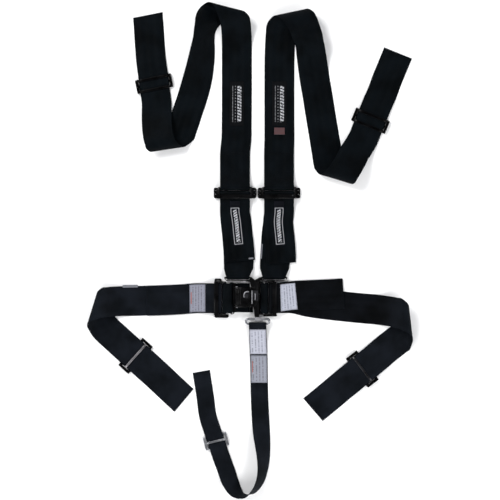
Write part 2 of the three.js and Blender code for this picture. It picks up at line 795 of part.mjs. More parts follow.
// ---- Latch ----
const LATCH_BAR_X = -60;
const LATCH_Y = ADJUSTERS.ll.at[1];
const PIVOT = [-45, 20.5];
const LEVER_Y = [-27, 17];
const FLANGE = 2.5;
const latchTop = LATCH_Z + PLATE;
const latchLoop = loop(
  [LATCH_BAR_X, LATCH_Z + PLATE / 2, 3.6],
  [FIXED_LL, BAR_Z, WRAP_FIXED],
  LATCH_Y,
);
add("latch_loop", belt(latchLoop), webbing);
add("latch_pad", plate(
  [[-66, -44, 1], [-4, -44, 1], [-4, -24, 1], [-12, -16, 1], [-12, 30, 1], [-66, 30, 1]],
  0,
  THICK,
), webbing);

const latchPieces = [
  plate(
    [
      [-62, LATCH_Y - 41, 3],
      [-53, LATCH_Y - 41, 5],
      [-44, LEVER_Y[0] - 1 - FLANGE, 4],
      [0, LEVER_Y[0] - 1 - FLANGE, 5],
      [9, -18, 5],
      [9, 12, 5],
      [0, LEVER_Y[1] + 1 + FLANGE, 5],
      [-44, LEVER_Y[1] + 1 + FLANGE, 4],
      [-53, LATCH_Y + 41, 5],
      [-62, LATCH_Y + 41, 3],
    ],
    LATCH_Z,
    latchTop,
  ),
];
const latchCuts = [
  box([LATCH_BAR_X + 2, LATCH_Y - 38.8, LATCH_Z - 1], [-54.6, LATCH_Y + 38.8, latchTop + 1]),
  disc(0, 0, LATCH_Z - 1, latchTop + 1, POST_R + 0.7),
  box([0, -POST_R - 0.7, LATCH_Z - 1], [12, POST_R + 0.7, latchTop + 1]),
];
for (const [low, high] of [
  [LEVER_Y[0] - 1 - FLANGE, LEVER_Y[0] - 1],
  [LEVER_Y[1] + 1, LEVER_Y[1] + 1 + FLANGE],
]) {
  const wall = plate(
    [[-52, 13, 0.5], [-6, 13, 0.5], [-9, 19, 4], [-34, 22, 6], [-40, 26, 4], [-50, 26, 4], [-52, 18, 3]],
    -high,
    -low,
  );
  latchPieces.push(wall.rotateX(Math.PI / 2));
  latchCuts.push(bar([PIVOT[0], low - 1, PIVOT[1]], [PIVOT[0], high + 1, PIVOT[1]], 2.9));
}
add("latch_base", join(latchPieces, latchCuts), steel);
const pinEnds = [LEVER_Y[0] - FLANGE - 2.2, LEVER_Y[1] + FLANGE + 2.2];
add(
  "latch_pin",
  bar([PIVOT[0], pinEnds[0], PIVOT[1]], [PIVOT[0], pinEnds[1], PIVOT[1]], 2.5),
  chrome,
);

const leverPlate = plate(
  [
    [-48, LEVER_Y[0], 3],
    [-6, LEVER_Y[0], 5],
    [-6, LEVER_Y[1], 5],
    [-48, LEVER_Y[1], 3],
  ],
  22.7,
  25.5,
);
const leverEye = bar([PIVOT[0], LEVER_Y[0], PIVOT[1]], [PIVOT[0], LEVER_Y[1], PIVOT[1]], 5, 20);
const leverWeb = box([-48, LEVER_Y[0], 20.5], [-42, LEVER_Y[1], 23]);
const leverHole = bar(
  [PIVOT[0], LEVER_Y[0] - 1, PIVOT[1]],
  [PIVOT[0], LEVER_Y[1] + 1, PIVOT[1]],
  2.9,
);
const leverWindow = plate(
  [[-29, -8, 3], [-13, -8, 3], [-13, 11, 3], [-29, 11, 3]],
  22,
  27,
);
add("lever", join([leverPlate, leverEye, leverWeb], [leverHole, leverWindow]), steel);
add(
  "lever_hook",
  join([
    plate([[-32, -11, 3], [9.5, -15, 2], [9.5, 11, 2], [-32, 12, 3]], 19.7, 22.4),
    box([7, -13, 15.6], [9.5, 9, 21]),
    bar([-21, -2, 21], [-21, -2, 25.5], 4.5, 20),
  ]),
  chrome,
);

// ---- Crotch belt ----
const RING_X = 8;
const RING_WIRE = 2.5;
const RING_Y = [-73.5, -61];
const RING_Z = TONGUE_Z + PLATE / 2;
const RING_HALF = 30;
const RING_WRAP = RING_WIRE + SHEET - THICK / 2;

const eyeEnd = bar([RING_X - 7, RING_Y[1], RING_Z], [RING_X + 7, RING_Y[1], RING_Z], 5.5, 20);
const eyeHole = bar(
  [RING_X - 8, RING_Y[1], RING_Z],
  [RING_X + 8, RING_Y[1], RING_Z],
  RING_WIRE + 0.4,
);
add(
  "crotch_tongue",
  join(
    [
      plate(
        [[-8.5, 0, 3], [-3, -30, 8], [1, -60, 2], [12, -60, 2], [11.5, -30, 8], [8.5, 0, 3], [6, 9, 4], [-6, 9, 4]],
        TONGUE_Z,
        TONGUE_Z + PLATE,
      ),
      eyeEnd,
    ],
    [eyeHole, disc(0, 0, TONGUE_Z - 1, TONGUE_Z + PLATE + 1, POST_R + GAP + 0.1)],
  ),
  steel,
);

const ringPieces = [];
for (const y of RING_Y)
  ringPieces.push(
    bar([RING_X - RING_HALF + 5, y, RING_Z], [RING_X + RING_HALF - 5, y, RING_Z], RING_WIRE, 10),
  );
for (const side of [-1, 1]) {
  const bend = [[5, 0], [1.5, 1.5], [0, 5]].map(([dx, dy]) => [
    [RING_X + side * (RING_HALF - dx), RING_Y[0] + dy, RING_Z],
    [RING_X + side * (RING_HALF - dx), RING_Y[1] - dy, RING_Z],
  ]);
  const path = [...bend.map((pair) => pair[0]), ...bend.reverse().map((pair) => pair[1])];
  for (let i = 1; i < path.length; i++) ringPieces.push(bar(path[i - 1], path[i], RING_WIRE, 10));
  for (const corner of path)
    ringPieces.push(new THREE.SphereGeometry(RING_WIRE, 8, 5).translate(...corner));
}
add("crotch_ring", join(ringPieces), chrome);

const crotch = run(
  [
    [10.5, -146, FLOOR, 0],
    [9, -110, FLOOR, 0],
    [8.2, -94, 2.2, 0],
    [8, -84, 4.8, 0],
    ...HALF_TURN.map((angle) => [
      RING_X,
      RING_Y[0] + RING_WRAP * Math.cos(rad(angle)),
      RING_Z + RING_WRAP * Math.sin(rad(angle)),
      0,
    ]),
    [8, -84, 12, 0],
    [8.2, -98, 8.2, 0],
    [8.8, -116, 4.6, 0],
    [9.8, -140, SECOND, 0],
    [10.4, -154, SECOND, 0],
    [10.9, -168, 1.8, 0],
    [11.3, -184, FLOOR, 0],
    [12.9, -263, FLOOR, 0],
    [15.8, -324, FLOOR, 0],
    [18, -355, FLOOR, -2, -11],
    [20.7, -385, FLOOR, -3, -28],
    [22.5, -416, FLOOR, -5, -42],
    [20.5, -446, FLOOR, -10, -54],
    [12.5, -477, FLOOR, -25, -62],
    [-6, -502, FLOOR, -52, -75],
    [-25, -510, FLOOR, -88, -98],
    [-44, -501, FLOOR, -130, -130],
    [-60, -479, FLOOR, -155, -158],
    [-71, -450, 1.6, 18],
    ...threaded("cr", 44, 42, 18.8),
    [-115.5, -321, 2.2, 18],
    [-119, -308, FLOOR, 17],
    [-125, -264, FLOOR, 12],
    [-135.7, -195, FLOOR, 10],
  ],
  NARROW,
);
add("crotch_webbing", belt(crotch), webbing);
const onCrotch = (y, z) => nearest(crotch, 10, y, z);
add("crotch_label_upper", sewnOn(crotch, onCrotch(-88, 11), onCrotch(-152, 4), -0.94, 0.94), label);
add("crotch_label_lower", sewnOn(crotch, onCrotch(-155, 4), onCrotch(-224, 2), -0.92, 0.92), label);

export default root;
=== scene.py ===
"""A five-point racing harness laid out flat, seen from straight above.

Lengths are in millimetres until a mesh is made, when MM turns them into metres.
"""

import json
import math

import bmesh
import bpy
from mathutils import Vector, noise
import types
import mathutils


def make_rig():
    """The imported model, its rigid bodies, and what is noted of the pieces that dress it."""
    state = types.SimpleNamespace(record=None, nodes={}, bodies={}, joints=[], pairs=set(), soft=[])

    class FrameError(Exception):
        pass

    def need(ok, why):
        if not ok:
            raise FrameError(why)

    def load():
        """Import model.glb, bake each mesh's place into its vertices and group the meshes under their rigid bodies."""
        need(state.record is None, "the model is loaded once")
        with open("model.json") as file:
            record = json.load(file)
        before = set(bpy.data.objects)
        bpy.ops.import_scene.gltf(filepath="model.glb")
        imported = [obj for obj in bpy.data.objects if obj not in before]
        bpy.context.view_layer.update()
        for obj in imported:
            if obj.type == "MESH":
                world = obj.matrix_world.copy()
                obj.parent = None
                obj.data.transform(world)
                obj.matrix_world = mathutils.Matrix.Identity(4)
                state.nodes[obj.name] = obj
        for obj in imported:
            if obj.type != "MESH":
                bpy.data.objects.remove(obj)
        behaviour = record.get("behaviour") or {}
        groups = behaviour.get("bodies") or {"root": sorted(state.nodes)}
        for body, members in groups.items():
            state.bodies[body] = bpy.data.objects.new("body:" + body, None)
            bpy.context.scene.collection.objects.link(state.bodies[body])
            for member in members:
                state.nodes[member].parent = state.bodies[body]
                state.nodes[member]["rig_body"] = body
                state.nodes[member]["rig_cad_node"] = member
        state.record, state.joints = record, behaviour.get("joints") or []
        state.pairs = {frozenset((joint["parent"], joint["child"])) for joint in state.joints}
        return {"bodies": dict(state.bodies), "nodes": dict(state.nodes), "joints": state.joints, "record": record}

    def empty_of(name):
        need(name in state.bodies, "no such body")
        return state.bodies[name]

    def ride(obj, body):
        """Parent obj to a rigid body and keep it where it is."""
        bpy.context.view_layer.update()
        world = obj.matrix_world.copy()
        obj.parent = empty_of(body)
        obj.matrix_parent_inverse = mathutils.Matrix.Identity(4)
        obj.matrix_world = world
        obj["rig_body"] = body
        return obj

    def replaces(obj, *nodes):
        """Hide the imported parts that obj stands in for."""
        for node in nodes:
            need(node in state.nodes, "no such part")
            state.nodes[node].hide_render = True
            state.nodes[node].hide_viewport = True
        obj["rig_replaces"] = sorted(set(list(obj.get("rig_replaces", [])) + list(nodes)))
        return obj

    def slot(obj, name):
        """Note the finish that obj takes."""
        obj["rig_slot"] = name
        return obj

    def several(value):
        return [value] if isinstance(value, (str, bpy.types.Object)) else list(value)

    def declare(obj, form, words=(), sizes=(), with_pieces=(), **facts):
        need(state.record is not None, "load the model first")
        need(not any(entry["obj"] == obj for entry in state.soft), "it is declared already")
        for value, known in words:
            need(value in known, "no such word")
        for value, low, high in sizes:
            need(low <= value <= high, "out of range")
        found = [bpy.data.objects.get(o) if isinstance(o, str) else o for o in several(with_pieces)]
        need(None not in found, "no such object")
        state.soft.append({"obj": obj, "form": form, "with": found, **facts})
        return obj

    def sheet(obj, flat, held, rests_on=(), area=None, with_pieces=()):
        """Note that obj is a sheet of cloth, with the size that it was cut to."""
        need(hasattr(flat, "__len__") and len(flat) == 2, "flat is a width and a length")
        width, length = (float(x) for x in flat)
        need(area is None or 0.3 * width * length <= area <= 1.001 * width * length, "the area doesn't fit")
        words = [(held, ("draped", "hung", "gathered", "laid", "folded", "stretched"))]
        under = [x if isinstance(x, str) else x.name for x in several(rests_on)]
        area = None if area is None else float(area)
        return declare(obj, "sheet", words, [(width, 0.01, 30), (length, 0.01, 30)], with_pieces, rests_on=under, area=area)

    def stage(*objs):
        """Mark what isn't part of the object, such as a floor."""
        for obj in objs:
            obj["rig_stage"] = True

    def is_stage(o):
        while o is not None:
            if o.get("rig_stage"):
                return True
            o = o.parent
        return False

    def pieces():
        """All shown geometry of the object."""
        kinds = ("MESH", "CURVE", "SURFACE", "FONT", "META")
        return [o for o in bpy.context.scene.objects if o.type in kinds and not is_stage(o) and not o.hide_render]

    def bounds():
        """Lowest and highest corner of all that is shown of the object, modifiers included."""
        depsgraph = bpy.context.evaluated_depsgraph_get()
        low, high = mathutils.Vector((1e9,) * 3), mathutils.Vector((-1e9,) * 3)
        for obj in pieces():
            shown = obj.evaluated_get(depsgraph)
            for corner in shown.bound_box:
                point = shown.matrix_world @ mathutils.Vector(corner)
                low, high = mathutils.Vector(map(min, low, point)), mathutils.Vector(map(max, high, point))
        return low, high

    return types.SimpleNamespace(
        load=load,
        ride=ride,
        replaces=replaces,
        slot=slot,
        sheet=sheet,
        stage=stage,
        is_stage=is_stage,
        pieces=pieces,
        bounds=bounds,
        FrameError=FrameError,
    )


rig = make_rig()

MM = 0.001
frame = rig.load()
CAD_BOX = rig.bounds()
BODY_OF = {
    node: body
    for body, members in frame["record"]["behaviour"]["bodies"].items()
    for node in members
}

# ---- Driving dimensions, as in the CAD ----
WIDE = 76.2
NARROW = 44.45
AT_TANG = 58
THICK = 1.6
GAP = 0.3
FLOOR = THICK / 2
SECOND = FLOOR + THICK + 0.4
THIRD = SECOND + THICK + 0.4
THREADED = 3.3
SHEET = THICK + GAP
POST_TOP = 18
PLATE = 2.5
TANG_R_Z = 3.3
TANG_L_Z = 6.1
TONGUE_Z = 8.9
LATCH_Z = 11.7
TANG_BAR_Y = 44.5
TANG_FRONT = {"sl": 34.6, "sr": 36.5}
BAR_R = 3.5
LOCK_R = 4
TANG_BAR_R = 2.36
BAR_U = 10.5
LOCK_U = -2
BAR_Z = 8
WRAP_FIXED = BAR_R + SHEET - THICK / 2
WRAP_LOCK = LOCK_R + SHEET - THICK / 2
LEAST_SLANT = 0.93
HALF_TURN = [-90, -60, -30, 0, 30, 60, 90]
FINE_STEP = 1.6

# Centre of each adjuster and the direction of its belt.
ADJUSTERS = {
    "sl": ((-49.7, 261.4), 90),
    "sr": ((62.5, 261.4), 90),
    "ll": ((-87, -8), 0),
    "lr": ((40, -8), 180),
}
# Three-bar slides: centre, direction of the webbing, the slide's turn on it, half width between the rails,
# and whether the outer bars lie on top of the webbing.
SLIDES = {
    "sl": ((-255.8, 538.6), 97.5, 4, 40, True),
    "sr": ((295.5, 444), 67.8, 0, 40, True),
    "ll": ((-303, -155), -42, 0, 40, False),
    "lr": ((274.6, -188.7), -140.5, -2, 40, False),
    "cr": ((-98.2, -372.3), 108.8, -5, 24.2, False),
}


def cosd(degrees):
    return math.cos(math.radians(degrees))


def sind(degrees):
    return math.sin(math.radians(degrees))


# ---- Camera, light and floor ----
def make_camera():
    height = 6.0
    field = 1.275
    middle_x, middle_y = -0.0115, 0.11475
    data = bpy.data.cameras.new("camera")
    data.sensor_width = 36
    data.lens = data.sensor_width * height / field
    data.clip_end = 50
    camera = bpy.data.objects.new("camera", data)
    camera.location = (middle_x, middle_y, height)
    bpy.context.scene.collection.objects.link(camera)
    bpy.context.scene.camera = camera


def area_light(name, place, aim, size, power):
    data = bpy.data.lights.new(name, "AREA")
    data.shape = "SQUARE"
    data.size = size
    data.energy = power
    light = bpy.data.objects.new(name, data)
    light.location = place
    light.rotation_euler = (Vector(aim) - Vector(place)).to_track_quat("-Z", "Y").to_euler()
    bpy.context.scene.collection.objects.link(light)


def make_studio():
    area_light("key", (-1.9, 2.2, 2.2), (0, 0.1, 0), 1.5, 84)
    area_light("fill", (2.2, -1.6, 2.0), (0, 0.1, 0), 1.6, 54)
    area_light("rim", (-1.6, -2.5, 1.5), (0, 0, 0), 1.0, 30)
    world = bpy.data.worlds.new("studio")
    world.use_nodes = True
    tree = world.node_tree
    background = tree.nodes["Background"]
    background.inputs["Color"].default_value = (0.96, 0.97, 1.0, 1)
    height = tree.nodes.new("ShaderNodeSeparateXYZ")
    tree.links.new(tree.nodes.new("ShaderNodeTexCoord").outputs["Generated"], height.inputs[0])
    darker_overhead = tree.nodes.new("ShaderNodeMapRange")
    for socket, value in zip(list(darker_overhead.inputs)[1:5], (0.2, 0.9, 1.1, 0.05)):
        socket.default_value = value
    tree.links.new(height.outputs["Z"], darker_overhead.inputs["Value"])
    tree.links.new(darker_overhead.outputs[0], background.inputs["Strength"])
    bpy.context.scene.world = world
    bpy.context.scene.view_settings.view_transform = "Standard"
    bpy.context.scene.view_settings.exposure = 0.4
    mesh = bpy.data.meshes.new("floor")
    reach = 8
    corners = [(-reach, -reach, 0), (reach, -reach, 0), (reach, reach, 0), (-reach, reach, 0)]
    mesh.from_pydata(corners, [], [(0, 1, 2, 3)])
    floor = bpy.data.objects.new("floor", mesh)
    bpy.context.scene.collection.objects.link(floor)
    floor.data.materials.append(floor_material())
    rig.stage(floor)


# ---- Materials ----
class Look:
    """A material under construction: short calls that add and link shader nodes."""

    def __init__(self, name, **constants):
        self.material = bpy.data.materials.new(name)
        self.material.use_nodes = True
        self.tree = self.material.node_tree
        self.shader = self.tree.nodes["Principled BSDF"]
        for key, value in constants.items():
            self.shader.inputs[key.replace("_", " ")].default_value = value

    def put(self, socket, value):
        if isinstance(value, bpy.types.NodeSocket):
            self.tree.links.new(value, socket)
        else:
            socket.default_value = value

    def calc(self, operation, *values):
        node = self.tree.nodes.new("ShaderNodeMath")
        node.operation = operation
        for socket, value in zip(node.inputs, values):
            self.put(socket, value)
        return node.outputs[0]

    def plus(self, first, second):
        return self.calc("ADD", first, second)

    def times(self, first, second):
        return self.calc("MULTIPLY", first, second)

    def above(self, value, limit):
        """1 where value is above limit, else 0."""
        return self.calc("GREATER_THAN", value, limit)

    def below(self, value, limit):
        """1 where value is below limit, else 0."""
        return self.calc("LESS_THAN", value, limit)

    def wave(self, value, period):
        return self.calc("SINE", self.times(value, 2 * math.pi / period))

    def span(self, value, low, high):
        """1 where value lies between low and high, else 0."""
        above = self.above(value, low)
        return self.times(above, self.below(value, high))

    def attribute(self, name):
        node = self.tree.nodes.new("ShaderNodeAttribute")
        node.attribute_name = name
        parts = self.tree.nodes.new("ShaderNodeSeparateXYZ")
        self.tree.links.new(node.outputs["Vector"], parts.inputs[0])
        return parts.outputs

    def place(self):
        return self.tree.nodes.new("ShaderNodeTexCoord").outputs["Object"]

    def noise(self, vector, scale, detail=3):
        node = self.tree.nodes.new("ShaderNodeTexNoise")
        node.inputs["Scale"].default_value = scale
        node.inputs["Detail"].default_value = detail
        self.put(node.inputs["Vector"], vector)
        return node.outputs["Fac"]

    def vector(self, x, y, z=0.0):
        node = self.tree.nodes.new("ShaderNodeCombineXYZ")
        for socket, value in zip(node.inputs, (x, y, z)):
            self.put(socket, value)
        return node.outputs[0]

    def remap(self, value, from_low, from_high, low, high):
        node = self.tree.nodes.new("ShaderNodeMapRange")
        for socket, number in zip(node.inputs, (value, from_low, from_high, low, high)):
            self.put(socket, number)
        return node.outputs[0]

    def mix(self, share, first, second):
        node = self.tree.nodes.new("ShaderNodeMix")
        node.data_type = "RGBA"
        self.put(node.inputs[0], share)
        for socket, colour in ((node.inputs[6], first), (node.inputs[7], second)):
            self.put(socket, colour if isinstance(colour, bpy.types.NodeSocket) else (*colour, 1))
        return node.outputs[2]

    def bump(self, height, distance, strength=1.0):
        node = self.tree.nodes.new("ShaderNodeBump")
        node.inputs["Strength"].default_value = strength
        node.inputs["Distance"].default_value = distance
        self.put(node.inputs["Height"], height)
        self.put(self.shader.inputs["Normal"], node.outputs[0])

    def finish(self, colour, roughness):
        self.put(self.shader.inputs["Base Color"], colour)
        self.put(self.shader.inputs["Roughness"], roughness)
        return self.material


def floor_material():
    look = Look("floor", Specular_IOR_Level=0.1)
    tone = look.noise(look.place(), 1.5)
    return look.finish(look.mix(tone, (0.93, 0.93, 0.93), (0.955, 0.955, 0.955)), 0.9)


def webbing_material(name, dark, pale, painted_shade_until=None):
    """Woven polyester: a chevron weave between lengthwise cords, with a plain woven edge."""
    look = Look(name, Specular_IOR_Level=0.035, Sheen_Weight=0.003, Sheen_Roughness=0.4)
    across, along, edge = look.attribute("weave")
    chevron_width = 9.5
    pick = 1.5
    cord = 1.19
    edge_width = 3.4
    fold = look.calc("PINGPONG", across, chevron_width)
    weave = look.wave(look.plus(along, fold), pick)
    cords = look.wave(across, cord)
    inner = look.plus(look.times(weave, 0.3), look.times(cords, 0.2))
    rim = look.times(look.wave(along, 1.1), 0.25)
    at_edge = look.below(edge, edge_width)
    away = look.calc("SUBTRACT", 1.0, at_edge)
    height = look.plus(look.times(inner, away), look.times(rim, at_edge))
    fibres = look.noise(look.vector(look.times(across, 3.0), along), 0.9, 4)
    cloudy = look.noise(look.vector(across, along), 0.018, 2)
    bundle = look.calc("FLOOR", look.calc("DIVIDE", across, chevron_width))
    band = look.noise(look.vector(bundle, 0.37), 5.3, 0)
    cloudy = look.remap(cloudy, 0.3, 0.7, 0.0, 0.8)
    tone = look.plus(cloudy, look.times(band, 0.2))
    # Painted shade: the raised weave is painted lighter and its grooves darker.
    tone = look.plus(tone, look.times(height, 0.3))
    tone = look.plus(tone, look.times(fibres, 0.12))
    worn = look.times(look.below(edge, 0.7), look.noise(look.place(), 60))
    share = look.remap(tone, 0.2, 0.85, 0, 1)
    colour = look.mix(share, dark, pale)
    # Painted shade: up to painted_shade_until along the run the webbing is painted darker, fading out over the last 60
    # mm.
    if painted_shade_until:
        start = look.mix(share, tuple(c * 0.3 for c in dark), tuple(c * 0.42 for c in pale))
        colour = look.mix(look.remap(along, painted_shade_until - 60, painted_shade_until, 0, 1), start, colour)
    colour = look.mix(look.times(worn, 0.5), colour, tuple(c * 2.2 for c in pale))
    look.bump(look.plus(height, look.times(fibres, 0.3)), 0.00022, 0.8)
    return look.finish(colour, look.remap(fibres, 0.3, 0.7, 0.5, 0.72))


def thread_material():
    look = Look("thread", Specular_IOR_Level=0.05)
    twist = look.noise(look.place(), 900, 2)
    look.bump(twist, 0.0001, 0.5)
    return look.finish(look.mix(twist, (0.001, 0.0014, 0.0018), (0.0034, 0.0042, 0.0054)), 0.6)


def metal_material(
    name, dark, pale, rough, metallic, wear, gloss=0.4, grain_depth=0.35, bare_below=None
):
    """Plated or painted steel: mottled, finely brushed, with small bare scuffs.

    Where bare_below is given, the metal is bare at every y below it.
    """
    look = Look(name, Metallic=metallic, Specular_IOR_Level=gloss)
    place = look.place()
    mottle = look.noise(place, 45, 3)
    grain = look.noise(place, 700, 2)
    scuff = look.above(look.noise(place, 160, 5), 1 - wear)
    colour = look.mix(look.remap(mottle, 0.35, 0.7, 0, 1), dark, pale)
    colour = look.mix(scuff, colour, (0.05, 0.05, 0.054))
    if bare_below is not None:
        parts = look.tree.nodes.new("ShaderNodeSeparateXYZ")
        look.put(parts.inputs[0], place)
        bare = look.below(parts.outputs["Y"], bare_below)
        colour = look.mix(bare, colour, (0.2, 0.2, 0.21))
    look.bump(grain, 0.00005, grain_depth)
    return look.finish(colour, look.remap(mottle, 0.3, 0.7, rough - 0.07, rough + 0.1))


def cloth_label(name, ground, marks, cover):
    """Label cloth with a fine weave. cover makes the share of marks from the look and its coordinates."""
    look = Look(name, Specular_IOR_Level=0.06)
    across, along, edge = look.attribute("weave")
    weave = look.times(look.wave(across, 0.7), look.wave(along, 0.7))
    fade = look.noise(look.vector(across, along), 0.12, 3)
    ground_colour = look.mix(fade, ground, tuple(c * 0.84 for c in ground))
    share = cover(look, across, along, edge)
    share = look.times(share, look.remap(fade, 0.3, 0.7, 1.0, 0.8))
    look.bump(look.plus(weave, look.times(share, 1.5)), 0.00008, 0.5)
    return look.finish(look.mix(share, ground_colour, marks), look.remap(weave, -1, 1, 0.55, 0.75))


def printed_rows(row, turned, dense, strength):
    """Rows of short dashes, as fine print looks from a distance. They spell nothing."""

    def cover(look, across, along, edge):
        reading, stacking = (along, across) if turned else (across, along)
        step = look.calc("DIVIDE", stacking, row)
        line = look.below(look.calc("FRACT", step), 0.42)
        seed = look.times(look.calc("FLOOR", step), 13.7)
        words = look.noise(look.vector(look.times(reading, 0.42), seed), 1.0, 2)
        word = look.above(words, dense)
        inside = look.above(edge, 3.6)
        return look.times(look.times(look.times(line, word), inside), strength)

    return cover


def broken(look, across, along, grain, share):
    """Irregular gaps that break up a column of strokes."""
    speckle = look.noise(look.vector(look.times(across, grain), look.times(along, 0.3)), 1.0, 2)
    return look.above(speckle, share)


def framed_marks(look, across, along, edge):
    """A light frame line with a column of slanted strokes in it."""
    frame_line = look.times(look.span(edge, 0.5, 2.1), 0.62)
    slant = look.plus(along, look.times(across, 0.55))
    stroke = look.above(look.wave(slant, 6.4), -0.3)
    split = broken(look, across, along, 0.25, 0.42)
    column = look.times(look.below(look.calc("ABSOLUTE", across), 4.6), stroke)
    column = look.times(column, look.above(edge, 5.5))
    column = look.times(column, split)
    return look.calc("MAXIMUM", frame_line, column)


def patch_marks(side):
    """A bold column of strokes, on the side that the sign gives, and finer dashes beside it."""
    middle = 56
    reach = 46

    def cover(look, across, along, edge):
        turned = look.times(across, side)
        slant = look.plus(along, look.times(turned, 0.35))
        stroke = look.above(look.wave(slant, 7.6), -0.45)
        stroke = look.times(stroke, broken(look, turned, along, 0.22, 0.43))
        bold = look.times(look.span(turned, 1.5, 11.5), stroke)
        dash = look.noise(look.vector(look.times(along, 0.45), 0.0), 1.0, 2)
        fine = look.times(look.span(turned, -11.2, -9.6), look.above(dash, 0.47))
        dots = look.above(look.wave(along, 7.6), 0.35)
        thin = look.times(look.span(turned, -4.6, -2.6), dots)
        fine = look.times(look.calc("MAXIMUM", fine, thin), 0.4)
        inside = look.below(look.calc("ABSOLUTE", look.calc("SUBTRACT", along, middle)), reach)
        fine = look.times(fine, look.times(inside, look.above(edge, 4.0)))
        return look.calc("MAXIMUM", look.times(bold, look.times(inside, 0.8)), fine)

    return cover


def striped(look, _across, along, _edge):
    """Plain stripes that run across the strip."""
    return look.times(look.above(look.wave(along, 3.4), 0.0), 0.7)


# ---- Webbing runs ----
class Line:
    """One cross line of the webbing: its middle, its direction across and its width.

    run and line_at add its surface normal, half width and distance along the webbing.
    """

    def __init__(self, at, across, width):
        self.at = at
        self.across = across
        self.width = width


def station(values, wide):
    x, y, height, direction, *rest = values
    tilt = math.radians(rest[0]) if rest else 0
    width = rest[1] if len(rest) > 1 else wide
    turn = math.radians(direction)
    across = Vector(
        (math.cos(tilt) * math.cos(turn), math.cos(tilt) * math.sin(turn), math.sin(tilt))
    )
    lift = width / 2 * abs(math.sin(tilt))
    return Line(Vector((x, y, height + lift)), across, width)


def run(stations, wide, step=4.5):
    """A smooth run through the stations, as close cross lines with their distance along the webbing."""
    s = [station(one, wide) for one in stations]
    spans = [(b.at - a.at).length for a, b in zip(s, s[1:])]

    def slope(key, i):
        back = on = None
        if i > 0:
            back = (getattr(s[i], key) - getattr(s[i - 1], key)) / spans[i - 1]
        if i < len(s) - 1:
            on = (getattr(s[i + 1], key) - getattr(s[i], key)) / spans[i]
        if back is None:
            return on
        if on is None:
            return back
        return (back * spans[i] + on * spans[i - 1]) / (spans[i - 1] + spans[i])

    def between(key, i, t):
        t2 = t * t
        t3 = t2 * t
        h = spans[i]
        return (
            getattr(s[i], key) * (2 * t3 - 3 * t2 + 1)
            + slope(key, i) * ((t3 - 2 * t2 + t) * h)
            + getattr(s[i + 1], key) * (3 * t2 - 2 * t3)
            + slope(key, i + 1) * ((t3 - t2) * h)
        )

    lines = []
    for i, span in enumerate(spans):
        parts = max(1, math.ceil(span / step))
        for k in range(1 if i else 0, parts + 1):
            t = k / parts
            width = s[i].width + (s[i + 1].width - s[i].width) * t
            lines.append(Line(between("at", i, t), between("across", i, t).normalized(), width))
    length = 0
    for i, line in enumerate(lines):
        way = (lines[min(i + 1, len(lines) - 1)].at - lines[max(i - 1, 0)].at).normalized()
        normal = way.cross(line.across)
        line.half = line.width / 2 / max(normal.length, LEAST_SLANT)
        line.normal = normal.normalized()
        drop = line.half * abs(line.across.z) + THICK / 2 * abs(line.normal.z)
        line.at.z = max(line.at.z, drop)
        if i:
            length += (line.at - lines[i - 1].at).length
        line.along = length
    return lines


def line_at(lines, distance):
    """The cross line at a distance along a run."""
    i = 1
    while i < len(lines) - 1 and lines[i].along < distance:
        i += 1
    a, b = lines[i - 1], lines[i]
    t = (distance - a.along) / (b.along - a.along)
    line = Line(a.at.lerp(b.at, t), a.across.lerp(b.across, t).normalized(), a.width)
    line.normal = a.normal.lerp(b.normal, t).normalized()
    line.half = a.half + (b.half - a.half) * t
    line.along = distance
    return line


def stretch(lines, start, end):
    count = max(2, round((end - start) / FINE_STEP))
    return [line_at(lines, start + (end - start) * n / count) for n in range(count + 1)]


def nearest(lines, x, y, z=0):
    target = Vector((x, y, z))
    return min(lines, key=lambda line: (line.at - target).length).along


def upper_side(line):
    return 1 if line.normal.z > 0 else -1


# ---- Meshes ----
def mesh_object(name, points, faces, look, coordinates=None):
    mesh = bpy.data.meshes.new(name)
    mesh.from_pydata([tuple(p * MM for p in point) for point in points], [], faces)
    if coordinates:
        attribute = mesh.attributes.new("weave", "FLOAT_VECTOR", "POINT")
        for item, value in zip(attribute.data, coordinates):
            item.vector = value
    bm = bmesh.new()
    bm.from_mesh(mesh)
    bmesh.ops.recalc_face_normals(bm, faces=bm.faces)
    if bm.calc_volume(signed=True) < 0:
        bmesh.ops.reverse_faces(bm, faces=bm.faces)
    bm.to_mesh(mesh)
    bm.free()
    mesh.polygons.foreach_set("use_smooth", [True] * len(mesh.polygons))
    obj = bpy.data.objects.new(name, mesh)
    bpy.context.scene.collection.objects.link(obj)
    obj.data.materials.append(look)
    return obj


def walls(rings, sides, first=0, closed=False):
    """The faces between rings of points, whose first point has the number first."""
    faces = []
    for i in range(rings if closed else rings - 1):
        here = first + i * sides
        there = first + (i + 1) % rings * sides
        for k in range(sides):
            on = (k + 1) % sides
            faces.append((here + k, here + on, there + on, there + k))
    return faces


def lid(first, sides):
    """The face that closes a ring of points."""
    return tuple(range(first, first + sides))


def capped(rings, sides):
    """The faces of a form made of rings of points and closed at both ends."""
    return [lid(0, sides)[::-1], *walls(rings, sides), lid((rings - 1) * sides, sides)]


def ribbon(name, lines, look, profile, left=-1.0, right=1.0, base=0.0, wavy=0.0):
    """A closed strip whose cross section is profile(width): pairs of distance across and height."""
    points = []
    coordinates = []
    count = 0
    total = lines[-1].along - lines[0].along
    for line in lines:
        width = (right - left) * line.half
        section = profile(width)
        count = len(section)
        along = line.along - lines[0].along
        ripple = wavy * noise.noise(Vector((line.along * 0.035, line.at.x * 0.01, 0.5)))
        for across, height in section:
            side = left * line.half + across
            lift = base + height + ripple
            points.append(line.at + line.across * side + line.normal * lift)
            edge = min(across, width - across, along, total - along)
            coordinates.append((across - width / 2, along, edge))
    faces = walls(len(lines), count)
    faces.append(lid(0, count))
    faces.append(lid((len(lines) - 1) * count, count)[::-1])
    return mesh_object(name, points, faces, look, coordinates)


